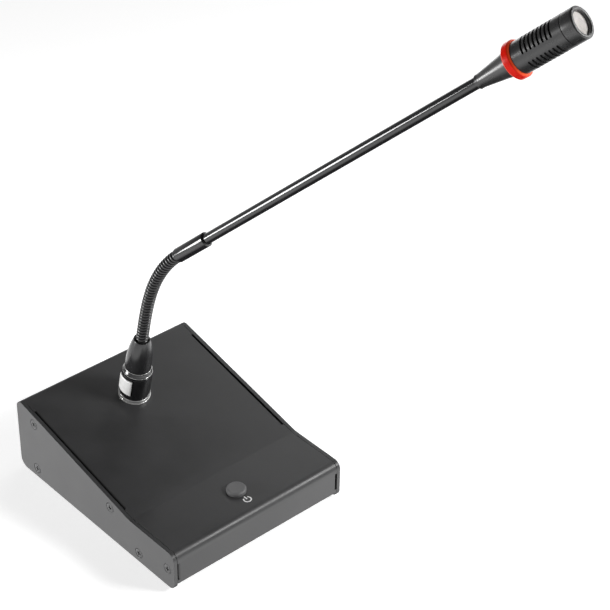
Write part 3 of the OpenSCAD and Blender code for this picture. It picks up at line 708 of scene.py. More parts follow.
def fold_section(sizes, level, deep, beyond):
    """What lies beside a folded edge: from the depth deep, round the fold at level, outward."""
    outer, edge = cover_edges(sizes)
    r = math.copysign(sizes.fold_radius, beyond)
    out, steps = outer + abs(beyond), 8
    section = [(edge, deep)]
    for k in range(steps + 1):
        turn = math.pi / 2 * k / steps
        section.append((edge - abs(r) + abs(r) * math.cos(turn), level - r + r * math.sin(turn)))
    return section + [(edge - abs(r), level + beyond), (out, level + beyond), (out, deep)]


def fold_cutters(sizes):
    """What is cut away beside the deck where its edges are folded down."""
    bend, slope, deck = deck_line(sizes)
    tilt = math.atan(slope)
    section = fold_section(sizes, 0, -sizes.fold_depth, 0.001)
    start, stop = bend + sizes.fold_front, sizes.depth / 2 - sizes.fold_back
    length = (stop - start) / math.cos(tilt)
    matrix = (Matrix.Translation((0, start, deck(start)))
              @ Matrix.Rotation(tilt + math.radians(90), 4, "X"))
    mesh = moved(prism(section, -length, 0, "z"), matrix)
    return [mesh, moved(mesh, MIRROR)]


def front_cutters(sizes):
    """What is cut away beside the front face where its edges are folded back."""
    front, deep = -sizes.depth / 2, 0.006
    section = fold_section(sizes, front, front + deep, -0.001)
    mesh = prism(section, sizes.front_low, sizes.front_height - sizes.front_low, "z")
    return [mesh, moved(mesh, MIRROR)]


class PAGING_OT_cover(bpy.types.Operator):
    """Folds the steel cover with its slots, flanges and openings"""
    bl_idname = "paging.cover"
    bl_label = "Cover"

    def execute(self, context):
        sizes, controls = context.scene.paging_base, context.scene.paging_controls
        socket = context.scene.paging_socket
        t = sizes.sheet
        front, rear = -sizes.depth / 2, sizes.depth / 2
        bend, slope, deck = deck_line(sizes)
        tilt = math.atan(slope)
        outer, edge = cover_edges(sizes)
        under = t / math.cos(tilt)
        low = sizes.lift
        outline = eased(
            [(rear, low), (rear, sizes.rear_height), (bend, sizes.front_height),
             (front, sizes.front_height), (front, low)],
            [0, sizes.bend, sizes.ease, sizes.bend, 0], steps=12, closed=False)
        inner = eased(
            [(front + t, low), (front + t, sizes.front_height - t),
             (bend + t * math.tan(tilt / 2), sizes.front_height - t),
             (rear - t, deck(rear - t) - under), (rear - t, low)],
            [0, sizes.bend - t, sizes.ease + t, sizes.bend - t, 0], steps=12, closed=False)
        shell = prism(outline + inner, -outer, outer)
        button = Vector((0, front + controls.button_in, sizes.front_height))
        play, covered, loose = 0.0002, 0.0006, 0.0001
        hole = moved(drill(controls.button + play, 64), Matrix.Translation(button))
        collar = moved(drill(socket.collar - covered, 64), socket_place(context.scene))
        x, z = controls.jack_x, controls.jack_height
        back = Matrix.Translation((x, rear, z)) @ Matrix.Rotation(math.radians(90), 4, "X")
        bushing = moved(drill(controls.jack_bush + loose, 48), back)
        wide, tall = 0.0045, 0.0055
        inlet = block((-x - wide, rear - CUT, z - tall), (-x + wide, rear + CUT, z + tall))
        shell = carve(shell, [*fold_cutters(sizes), *front_cutters(sizes), hole, collar, bushing,
                              inlet])
        start, stop = bend + sizes.fold_front, rear - sizes.fold_back
        tucked, sunk, lip_depth = t - 2 * HAIR, 0.00002, 0.012
        flange = prism([(start, deck(start) - sizes.fold_depth),
                        (stop, deck(stop) - sizes.fold_depth),
                        (stop, deck(stop) - tucked), (start, deck(start) - tucked)],
                       edge - t, edge - HAIR)
        lip = block((edge - t, front + tucked, sizes.front_low),
                    (edge - HAIR, front + lip_depth, sizes.front_height - sizes.front_low))
        turned = block((t - edge, front + tucked, low + sunk),
                       (edge - t, front + sizes.turn_in, low + t))
        whole = joined(shell, flange, lip, moved(flange, MIRROR), moved(lip, MIRROR), turned,
                       moved(turned, Matrix.Diagonal((1, -1, 1, 1))))
        made = piece("cover", whole, FINISH["powder_coat"], body="base",
                     nodes=["deck_cover"])
        soften_edges(made, sizes.edge)
        return {"FINISHED"}


class PAGING_OT_cheeks(bpy.types.Operator):
    """Cuts the side cheeks with rounded corners and countersunk holes"""
    bl_idname = "paging.cheeks"
    bl_label = "Cheeks"

    def execute(self, context):
        sizes = context.scene.paging_base
        front, rear = -sizes.depth / 2, sizes.depth / 2
        bend = deck_line(sizes)[0]
        outline = eased(
            [(front, 0), (rear, 0), (rear, sizes.rear_height), (bend, sizes.front_height),
             (front, sizes.front_height)],
            [sizes.bend, 0.006, sizes.bend, sizes.ease, sizes.bend], steps=12)
        x = sizes.width / 2
        plate = prism(outline, x - sizes.cheek, x)
        wide, bore = sizes.screw_head + 0.0004, sizes.screw_thread + 0.0003
        sink, above = 0.0016, 0.001
        hole = lathe([(0, above), (wide, above), (wide, 0), (bore, -sink), (bore, -CUT), (0, -CUT)],
                     48)
        upright = Matrix.Rotation(math.radians(90), 4, "Y")
        holes = [moved(hole, Matrix.Translation((x, y, z)) @ upright)
                 for y, z in screw_places(sizes)]
        plate = carve(plate, holes)
        for name, node, side in (("cheek_plate_right", "cheek_right", 1),
                                 ("cheek_plate_left", "cheek_left", -1)):
            mesh = moved(plate, Matrix.Diagonal((side, 1, 1, 1)))
            made = piece(name, mesh, FINISH["powder_coat"], body="base",
                         nodes=[node])
            soften_edges(made, sizes.edge, 3)
        return {"FINISHED"}


def cross_cutter(reach, width, depth, top):
    """A tapered cross recess, from top down."""
    arms = []
    corners = ((-1, -1), (1, -1), (1, 1), (-1, 1))
    for k in range(2):
        verts = [(x * reach * 0.45, y * width * 0.35, top - depth) for x, y in corners]
        verts += [(x * reach, y * width * 0.5, top) for x, y in corners]
        faces = [(0, 1, 2, 3), (7, 6, 5, 4), (0, 1, 5, 4), (1, 2, 6, 5), (2, 3, 7, 6), (3, 0, 4, 7)]
        arms.append(moved((verts, faces), Matrix.Rotation(math.radians(90 * k), 4, "Z")))
    return arms


class PAGING_OT_screws(bpy.types.Operator):
    """Turns the countersunk cross-head screws of the cheeks"""
    bl_idname = "paging.screws"
    bl_label = "Cheek screws"

    def execute(self, context):
        sizes = context.scene.paging_base
        head, thread = sizes.screw_head - 0.0001, sizes.screw_thread - 0.00005
        outline = eased([(0, 0.00002), (head * 0.6, 0), (head, -0.00012), (head, -0.0002),
                         (thread, -0.0017), (thread, -sizes.screw_length),
                         (0, -sizes.screw_length)], 0.0001, 2)
        screw = carve(lathe(outline, 48), cross_cutter(0.0020, 0.0010, 0.0014, 0.0003))
        dice = random.Random(7)
        for name, node, side in (("screws_right", "cheek_screws_right", 1),
                                 ("screws_left", "cheek_screws_left", -1)):
            meshes = []
            for y, z in screw_places(sizes):
                turn = dice.uniform(0, math.pi)
                place = (Matrix.Translation((side * sizes.width / 2, y, z))
                         @ Matrix.Rotation(side * math.radians(90), 4, "Y")
                         @ Matrix.Rotation(turn, 4, "Z"))
                meshes.append(moved(screw, place))
            piece(name, joined(*meshes), FINISH["screw_steel"], body="base",
                  nodes=[node], sharp=32)
        return {"FINISHED"}


class PAGING_OT_feet(bpy.types.Operator):
    """Moulds the rubber feet"""
    bl_idname = "paging.feet"
    bl_label = "Feet"

    def execute(self, context):
        low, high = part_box("feet")
        radius, hollow, rise = 0.006, 0.0032, 0.0003
        top = high.z - low.z
        outline = eased([(0, rise), (hollow, rise), (hollow + 0.0004, 0), (radius, 0),
                         (radius, top), (0, top)], 0.0004, 4)
        pad = lathe(outline, 64)
        places = [(x, y) for x in (low.x + radius, high.x - radius)
                  for y in (low.y + radius, high.y - radius)]
        mesh = joined(*[moved(pad, Matrix.Translation((x, y, low.z))) for x, y in places])
        piece("rubber_feet", mesh, FINISH["foot_rubber"], body="base",
              nodes=["feet"])
        return {"FINISHED"}


class PAGING_OT_back_sockets(bpy.types.Operator):
    """Makes the threaded line socket and its nut"""
    bl_idname = "paging.back_sockets"
    bl_label = "Back sockets"

    def execute(self, context):
        sizes, controls = context.scene.paging_base, context.scene.paging_controls
        rear = sizes.depth / 2
        place = (Matrix.Translation((controls.jack_x, rear, controls.jack_height))
                 @ Matrix.Rotation(math.radians(-90), 4, "X"))
        bush, bore, inside, out = controls.jack_bush, controls.jack_bore, -0.0097, 0.0035
        height, groove, step = 0.002, 0.00025, 0.00019
        thread = [(bush - groove * (k % 2), height + 0.0002 + step * k) for k in range(6)]
        outline = [(bore, inside), (bush, inside), (bush, height)] + thread
        outline += [(bush, out - 0.0003), (bush - 0.0003, out), (bore + 0.0004, out),
                    (bore, out - 0.0004)]
        piece("line_bushing", lathe(outline, 72), FINISH["nickel"], place, "base",
              ["line_jack_bushing"], 30)
        radius, corner = controls.jack_nut, math.radians(60)
        hexagon = [(radius * math.cos(corner * k), radius * math.sin(corner * k))
                   for k in range(6)]
        nut = carve(prism(hexagon, 0, height, "z"), [drill(bush + HAIR, 72, low=-0.001)])
        made = piece("line_nut", nut, FINISH["nickel"], place, "base",
                     ["line_jack_nut"], 30)
        soften_edges(made, 0.0003, 2, 40)
        return {"FINISHED"}


class PAGING_OT_talk_button(bpy.types.Operator):
    """Moulds the talk button with its rim and stem"""
    bl_idname = "paging.talk_button"
    bl_label = "Talk button"

    def execute(self, context):
        sizes, controls = context.scene.paging_base, context.scene.paging_controls
        low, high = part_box("button_cap")
        r, top, round_off, collar, stalk = controls.button, high.z, 0.0009, 0.001, 0.002
        rim = sizes.front_height - sizes.sheet - 0.0001
        outline = eased(
            [(0, top - 0.00035), (r * 0.55, top - 0.00025), (r - round_off, top),
             (r, top - round_off), (r, rim), (r + collar, rim), (r + collar, rim - collar),
             (stalk, rim - collar), (stalk, low.z), (0, low.z)],
            [0, 0.02, 0.0011, 0.0008, 0, 0.0002, 0.0002, 0, 0.0003, 0], 6)
        place = Matrix.Translation((0, -sizes.depth / 2 + controls.button_in, 0))
        piece("talk_button_cap", lathe(outline, 96), FINISH["button_plastic"],
              place, "talk_button", ["button_cap"], 60)
        return {"FINISHED"}


class PAGING_OT_power_mark(bpy.types.Operator):
    """Prints the plain power mark in front of the talk button"""
    bl_idname = "paging.power_mark"
    bl_label = "Power mark"

    def execute(self, context):
        sizes, controls = context.scene.paging_base, context.scene.paging_controls
        r, half, film = controls.mark, controls.mark_stroke / 2, 0.00003
        gap, steps = math.radians(38), 40
        verts, faces = [], []
        for k in range(steps + 1):
            turn = math.radians(90) + gap + (2 * math.pi - 2 * gap) * k / steps
            for radius, height in ((r - half, 0), (r + half, 0), (r + half, film),
                                   (r - half, film)):
                verts.append((radius * math.cos(turn), radius * math.sin(turn), height))
        for k in range(steps):
            for j in range(4):
                a, b = 4 * k + j, 4 * k + (j + 1) % 4
                faces.append((a, b, b + 4, a + 4))
        faces += [(0, 1, 2, 3), (4 * steps + 3, 4 * steps + 2, 4 * steps + 1, 4 * steps)]
        bar = block((-half, 0.0003, 0), (half, r + 2 * half, film))
        place = Matrix.Translation((0, -sizes.depth / 2 + controls.mark_in, sizes.front_height))
        piece("power_mark", joined((verts, faces), bar), FINISH["print"], place, "base")
        return {"FINISHED"}


# Socket, latch and plug

class PAGING_OT_socket(bpy.types.Operator):
    """Turns the collar with its latch window and the bright ring round its foot"""
    bl_idname = "paging.socket"
    bl_label = "Socket"

    def execute(self, context):
        sizes = context.scene.paging_socket
        place = socket_place(context.scene)
        r, top, bore = sizes.collar, sizes.collar_height, sizes.plug + 0.0001
        below, floor, stop = -0.014, -0.015, bore - 0.0009
        barrel, seat, rim = r - 0.00075, -0.0001, 0.0005
        outline = eased([(bore, top), (bore, below), (stop, below), (stop, floor),
                         (barrel, floor), (barrel, seat), (r, seat), (r, top - rim),
                         (r - rim, top)], 0.00012, 2)
        gap = 0.0003
        half, high = sizes.tab_width / 2 + gap, sizes.tab_low + sizes.tab_height + gap
        window = block((-r - 0.002, -half, sizes.tab_low - gap), (-CUT, half, high))
        collar = carve(lathe(outline, 128), [window])
        piece("collar", collar, FINISH["black_metal"], place, "base",
              ["socket_shell"], 40)
        inner, waist, lip, band, crest = r + HAIR, r + 0.0001, r + 0.0006, r + 0.00035, 0.003
        ring = eased([(inner, 0), (lip, 0), (lip, 0.0006), (waist, 0.0006), (waist, 0.001),
                      (band, 0.001), (band, crest - 0.00025), (waist, crest), (inner, crest)],
                     0.00009, 3)
        piece("collar_ring", lathe(ring, 128), FINISH["nickel"], place, "base",
              ["socket_ring"], 50)
        return {"FINISHED"}


class PAGING_OT_latch(bpy.types.Operator):
    """Presses the curved latch tab with rounded corners and a raised grip"""
    bl_idname = "paging.latch"
    bl_label = "Latch tab"

    def execute(self, context):
        sizes = context.scene.paging_socket
        outer = sizes.collar + 0.00075
        inner = outer - 0.0013
        wide, tall = 20, 22
        border, round_off, rib, grip_low, grip_high = 0.07, 0.00022, 0.0001, 0.14, 0.50
        half = math.asin(sizes.tab_width / 2 / outer)
        verts, faces = [], []
        for radius in (outer, inner):
            for i in range(wide + 1):
                u = 2 * i / wide - 1
                turn = math.pi + half * u
                for k in range(tall + 1):
                    v = k / tall
                    level = radius
                    if radius == outer:
                        edge = min(1.0, min(1 - abs(u), 2 * min(v, 1 - v)) / border)
                        level -= round_off * (1 - math.sqrt(max(0.0, 1 - (1 - edge) ** 2)))
                        if grip_low < v < grip_high and abs(u) < 0.72:
                            share = (v - grip_low) / (grip_high - grip_low)
                            level -= rib * max(0.0, math.sin(5 * math.pi * share))
                    verts.append((level * math.cos(turn), level * math.sin(turn),
                                  sizes.tab_low + sizes.tab_height * v))
        row, layer = tall + 1, (wide + 1) * (tall + 1)
        for i in range(wide):
            for k in range(tall):
                a = i * row + k
                quad = (a, a + 1, a + row + 1, a + row)
                faces.append(quad)
                faces.append(tuple(layer + j for j in reversed(quad)))
        for i in range(wide):
            for k in (0, tall):
                a = i * row + k
                faces.append((a, a + row, layer + a + row, layer + a))
        for k in range(tall):
            for i in (0, wide):
                a = i * row + k
                faces.append((a, a + 1, layer + a + 1, layer + a))
        piece("latch_key", (verts, faces), FINISH["latch_nickel"],
              socket_place(context.scene), "latch", ["latch_tab"], 50)
        return {"FINISHED"}


class PAGING_OT_plug(bpy.types.Operator):
    """Turns the plug's shell, its band with two bright lines and the boot"""
    bl_idname = "paging.plug"
    bl_label = "Plug and boot"

    def execute(self, context):
        sizes, stem = context.scene.paging_socket, context.scene.paging_stem
        place = socket_place(context.scene)
        foot, high, wall = sizes.collar_height, sizes.band_height, 0.0008
        start, stop = 0.003, foot + 0.0006
        shell = eased([(sizes.plug - wall, start), (sizes.plug, start), (sizes.plug, stop),
                       (sizes.plug - wall, stop)], 0.0001, 2)
        piece("plug_can", lathe(shell), FINISH["black_metal"], place, "mic_plug",
              ["plug_shell"])
        band_r = sizes.collar - 0.00065
        neck_r = sizes.boot - 0.00015
        upright = 0.0014
        band = eased([(sizes.plug, foot + HAIR), (band_r, foot + HAIR), (band_r, foot + upright),
                      (neck_r, foot + high - upright), (neck_r, foot + high),
                      (sizes.plug, foot + high)], 0.00015, 3)
        piece("plug_band", lathe(band, 128), FINISH["black_metal"], place,
              "mic_plug", ["plug_sleeve"])
        line = 0.00035
        rings = [eased([(r, z), (r + line, z), (r + line, z + line), (r, z + line)], 0.00012, 3)
                 for r, z in ((band_r, foot + 2 * line), (neck_r, foot + high - 2 * line))]
        piece("plug_lines", joined(*[lathe(ring, 128) for ring in rings]), FINISH["nickel"],
              place, "mic_plug", ["plug_rings"], 60)
        low, top = foot + high, foot + high + sizes.boot_height
        steps = 28
        side = [(sizes.boot - (sizes.boot - sizes.boot_top) * (k / steps) ** 2.4,
                 low + sizes.boot_height * k / steps) for k in range(1, steps)]
        mouth, bore, lead, seat = stem.neck + 0.0005, 0.0022, top - 0.003, top - 0.006
        outline = [(bore, low), (sizes.boot - 0.0006, low), (sizes.boot, low + 0.0004)] + side
        outline += eased([side[-1], (sizes.boot_top, top), (mouth, top), (mouth, lead),
                          (stem.neck, lead), (stem.neck, seat), (bore, seat)],
                         0.0003, 4, closed=False)[1:]
        piece("neck_boot", lathe(outline, 112), FINISH["boot_rubber"], place,
              "mic_plug", ["boot"], 42)
        return {"FINISHED"}


# Gooseneck and stem

def winding(path, radius, groove, pitch):
    """A wound tube along a path of (point, across, beside, distance), its turns one helix."""
    around, wire = 44, 0.97
    verts, faces = [], []
    for point, across, beside, distance in path:
        for k in range(around):
            share = k / around
            turn = 2 * math.pi * share
            u = 2 * ((distance / pitch - share) % 1.0) - 1
            level = radius - groove * (1 - math.sqrt(1 - (wire * u) ** 2))
            offset = across * math.cos(turn) + beside * math.sin(turn)
            verts.append(tuple(point + offset * level))
    for i in range(len(path) - 1):
        for k in range(around):
            a, b = i * around + k, i * around + (k + 1) % around
            faces.append((a, b, b + around, a + around))
    return verts, faces


class PAGING_OT_gooseneck(bpy.types.Operator):
    """Winds the gooseneck in lengths that each bend at one joint"""
    bl_idname = "paging.gooseneck"
    bl_label = "Gooseneck"

    def execute(self, context):
        sizes = context.scene.paging_stem
        names = [f"neck_{kind}{'' if n == 1 else f'_{n}'}" for n in (1, 2, 3, 4)
                 for kind in ("bend", "sway")]
        turns = [Vector(JOINTS[name]["pos_m"]) for name in names]
        across = Vector(JOINTS["neck_bend"]["axis"]).normalized()
        foot = Vector(JOINTS["mic_unplug"]["axis"]).normalized()
        tip = Vector(MOUNTS["windscreen_seat"]["axis"]).normalized()
        half = (turns[1] - turns[0]).length / 2
        middles = [turns[0] - foot * half]
        middles += [(a + b) / 2 for a, b in zip(turns, turns[1:])]
        middles.append(turns[-1] + tip * sizes.sleeve_low)
        travelled, steps, end_steps, in_boot, in_sleeve = 0.0, 72, 40, 0.0062, 0.006
        for k, turn in enumerate(turns):
            start, stop = middles[k], middles[k + 1]
            points = [(start * (1 - t) ** 2 + turn * 2 * t * (1 - t) + stop * t ** 2,
                       (turn - start) * (1 - t) + (stop - turn) * t)
                      for t in (n / steps for n in range(steps + 1))]
            if k == 0:
                points = [(start - foot * in_boot * (1 - n / end_steps), foot)
                          for n in range(end_steps)] + points
            if k == len(turns) - 1:
                points += [(stop + tip * in_sleeve * n / end_steps, tip)
                           for n in range(1, end_steps + 1)]
            path, here = [], travelled
            for n, (point, along) in enumerate(points):
                if n:
                    here += (point - points[n - 1][0]).length
                beside = along.normalized().cross(across).normalized()
                path.append((point, across, beside, here))
            mesh = winding(path, sizes.neck, sizes.groove, sizes.pitch)
            travelled = here
            nodes = [f"neck_link_{k + 1}"] if k < 7 else ["neck_tip"]
            if k == 0:
                nodes.append("neck_root")
            made = piece(f"gooseneck_{k + 1}", mesh, FINISH["gooseneck_black"],
                         nodes=nodes, sharp=80)
            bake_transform(made)
        return {"FINISHED"}


class PAGING_OT_stem(bpy.types.Operator):
    """Turns the sleeve and draws the stem tube"""
    bl_idname = "paging.stem"
    bl_label = "Sleeve and stem"

    def execute(self, context):
        sizes = context.scene.paging_stem
        place = stem_place()
        low, top, r = sizes.sleeve_low, sizes.sleeve_low + sizes.sleeve_length, sizes.sleeve
        round_off, taken, lap, thick = 0.0008, 0.006, 0.014, 0.0006
        outline = eased([(sizes.neck, low + 2 * taken), (sizes.neck, low + 0.0002),
                         (r - 0.0005, low), (r, low + round_off), (r, top - round_off),
                         (r - round_off, top), (sizes.tube, top), (sizes.tube, top - lap)],
                        0.00018, 3)
        piece("sleeve", lathe(outline, 96), FINISH["black_metal"], place, "stem",
              ["stem_sleeve"], 42)
        cone = head_levels(context.scene)[0]
        tube = [(sizes.tube - thick, top - lap), (sizes.tube, top - lap)]
        tube += [(sizes.tube, top + (cone - top) * k / 30) for k in range(31)]
        tube += [(sizes.tube, cone + taken), (sizes.tube - thick, cone + taken)]
        piece("stem_pipe", lathe(tube, 96), FINISH["black_metal"], place, "stem",
              ["stem_tube"], 50)
        return {"FINISHED"}


# Head

class PAGING_OT_cone(bpy.types.Operator):
    """Turns the cone between the stem and the signal ring"""
    bl_idname = "paging.cone"
    bl_label = "Cone"

    def execute(self, context):
        sizes, head = context.scene.paging_stem, context.scene.paging_head
        low, ring, barrel = head_levels(context.scene)[:3]
        spigot, taken, cable, lap = head.radius - head.wall, 0.006, 0.0013, 0.004
        under_ring, shoulder = spigot - 0.0005, (head.radius - 0.00255, low + 0.0174)
        side = eased([(sizes.cone_foot, low), (sizes.cone_foot, low + 0.002), shoulder,
                      (sizes.cone_top, ring)], [0.0003, 0.006, 0.012, 0], 10, closed=False)
        outline = [(sizes.tube, low + taken), (sizes.tube, low), (sizes.cone_foot - 0.0003, low)]
        outline += side + [(under_ring, ring), (under_ring, barrel), (spigot, barrel),
                           (spigot, barrel + lap), (cable, barrel + lap), (cable, low + taken)]
        piece("cone", lathe(outline, 112), FINISH["cone_lacquer"], stem_place(),
              "stem", ["head_cone"], 42)
        return {"FINISHED"}


class PAGING_OT_signal_ring(bpy.types.Operator):
    """Moulds the red signal ring"""
    bl_idname = "paging.signal_ring"
    bl_label = "Signal ring"

    def execute(self, context):
        head = context.scene.paging_head
        low = head_levels(context.scene)[1]
        half = head.ring_length / 2
        inner, cut = head.radius - head.wall - 0.0004, 0.0008
        outline = eased([(inner, -half), (head.ring - cut, -half), (head.ring, -half + cut),
                         (head.ring, half - cut), (head.ring - cut, half), (inner, half)],
                        [0, 0.0003, 0.0003, 0.0003, 0.0003, 0], 4)
        place = stem_place() @ Matrix.Translation((0, 0, low + half))
        piece("signal_band", lathe(outline, 128), FINISH["signal_red"], place, "stem",
              ["led_ring"], 60)
        return {"FINISHED"}


class PAGING_OT_barrel(bpy.types.Operator):
    """Cuts the barrel's slots, with round ends, and folds its wall inward"""
    bl_idname = "paging.barrel"
    bl_label = "Slotted barrel"

    def execute(self, context):
        head = context.scene.paging_head
        low, high = head_levels(context.scene)[2:4]
        half = head.slot_width / 2
        end = half / head.radius
        arc = head.slot_arc / 2
        sector = 2 * math.pi / head.rows
        row_half, steps, long_steps = [], 8, 13
        for k in range(long_steps):
            row_half.append(((arc - end) * k / long_steps, half))
        for k in range(steps):
            a = math.pi / 2 * k / steps
            row_half.append((arc - end + end * math.sin(a), half * math.cos(a)))
        for k in range(steps + 1):
            row_half.append((arc + (sector / 2 - arc) * k / steps, 0.0))
        row_turns = [(-turn, gap) for turn, gap in row_half[:0:-1]] + row_half[:-1]
        turns, opening = [], []
        for row in range(head.rows):
            middle = head.slot_roll + row * sector
            turns += [middle + turn for turn, gap in row_turns]
            opening += [gap for turn, gap in row_turns]
        centres = [high - head.slot_back - k * head.slot_pitch for k in range(head.slots)][::-1]
        levels = [(low, 0.0), (low + (centres[0] - low) / 2, 0.0)]
        for k, z in enumerate(centres):
            levels += [(z, -1.0), (z, 1.0)]
            if k + 1 < len(centres):
                levels.append(((z + centres[k + 1]) / 2, 0.0))
        levels += [((centres[-1] + high) / 2, 0.0), (high - 0.00008, 0.0)]
        verts, faces = [], []
        around = len(turns)
        for z, side in levels:
            for turn, gap in zip(turns, opening):
                verts.append((head.radius * math.cos(turn), head.radius * math.sin(turn),
                              z + side * gap))
        for i in range(len(levels) - 1):
            if levels[i][1] < 0:
                continue
            for k in range(around):
                n = (k + 1) % around
                faces.append((i * around + k, i * around + n, (i + 1) * around + n,
                              (i + 1) * around + k))
        made = piece("slotted_barrel", (verts, faces), FINISH["head_metal"],
                     stem_place(), "stem", ["head_barrel"], 60)
        wall = made.modifiers.new("wall", "SOLIDIFY")
        wall.thickness = head.wall
        wall.offset = -1.0
        wall.use_even_offset = True
        soften_edges(made, 0.00010, 2, 50)
        return {"FINISHED"}


class PAGING_OT_front_cap(bpy.types.Operator):
    """Turns the smooth front cap with its recessed mouth"""
    bl_idname = "paging.front_cap"
    bl_label = "Front cap"

    def execute(self, context):
        head = context.scene.paging_head
        low, face = head_levels(context.scene)[3:5]
        r, mouth, spigot = head.radius, head.mouth, head.radius - head.wall
        floor, lap, seam, rim = face - head.mouth_depth - 0.0004, low - 0.004, low + 0.0001, 0.0006
        outline = eased([(spigot, lap), (spigot, seam), (r - 0.0003, seam), (r, seam + 0.0003),
                         (r, face - rim), (r - rim, face), (mouth + rim, face),
                         (mouth, face - rim), (mouth, floor), (mouth, lap)],
                        [0, 0, 0.0001, 0.0002, 0.0004, 0.0004, 0.0004, 0.0003, 0, 0], 5)
        piece("front_collar", lathe(outline, 128), FINISH["head_metal"], stem_place(),
              "stem", ["front_cap"], 50)
        return {"FINISHED"}


class PAGING_OT_front_mesh(bpy.types.Operator):
    """Weaves the wire mesh in the mouth"""
    bl_idname = "paging.front_mesh"
    bl_label = "Wire mesh"

    def execute(self, context):
        head = context.scene.paging_head
        face = head_levels(context.scene)[4]
        reach, pitch, wire = head.mouth + 0.0001, head.mesh_pitch, head.wire
        level = face - head.mouth_depth - wire
        lines = int(reach / pitch)
        sides = 6
        verts, faces = [], []
        for along in (0, 1):
            for n in range(-lines, lines + 1):
                shift = n * pitch
                span = math.sqrt(max(0.0, reach ** 2 - shift ** 2))
                steps = max(4, int(2 * span / pitch * 4))
                first = len(verts)
                for k in range(steps + 1):
                    s = -span + 2 * span * k / steps
                    sign = 1 if (n + along) % 2 else -1
                    rise = sign * wire * 0.95 * math.cos(math.pi * s / pitch)
                    for j in range(sides):
                        a = 2 * math.pi * j / sides
                        across, up = shift + wire * math.cos(a), rise + wire * math.sin(a)
                        verts.append((s, across, level + up) if along
                                     else (across, s, level + up))
                for k in range(steps):
                    for j in range(sides):
                        a, b = first + k * sides + j, first + k * sides + (j + 1) % sides
                        faces.append((a, b, b + sides, a + sides))
        piece("wire_mesh", (verts, faces), FINISH["mesh_steel"], stem_place(), "stem",
              ["front_mesh"], 80)
        felt = drill(head.mouth, 64, level - 0.0005, level - 0.0003)
        piece("mesh_backing", felt, FINISH["felt"], stem_place(), "stem")
        return {"FINISHED"}


class PAGING_OT_kept_parts(bpy.types.Operator):
    """Gives the frame's own parts their finishes and softens their edges"""
    bl_idname = "paging.kept_parts"
    bl_label = "Kept parts"

    def execute(self, context):
        softened = {"bottom_plate", "circuit_board", "board_chips", "dc_inlet", "line_jack_body",
                    "socket_nut", "clinch_nuts"}
        for name, made in frame["nodes"].items():
            if made.hide_render:
                continue
            for holder in made.material_slots:
                holder.link = "OBJECT"
                holder.material = FINISH[SLOTS[name]]
            if name in softened:
                weld = made.modifiers.new("weld", "WELD")
                weld.merge_threshold = 0.00001
                flat = made.modifiers.new("flat", "DECIMATE")
                flat.decimate_type = "DISSOLVE"
                flat.angle_limit = math.radians(1)
                soften_edges(made, 0.00025, 2, 40)
        return {"FINISHED"}


# Studio

def softbox(name, place, target, width, height, watts):
    """A soft rectangular light aimed at a point."""
    data = bpy.data.lights.new(name, "AREA")
    data.shape = "RECTANGLE"
    data.size, data.size_y = width, height
    data.energy = watts
    made = bpy.data.objects.new(name, data)
    bpy.context.scene.collection.objects.link(made)
    made.location = place
    made.rotation_mode = "QUATERNION"
    made.rotation_quaternion = (Vector(target) - Vector(place)).to_track_quat("-Z", "Y")


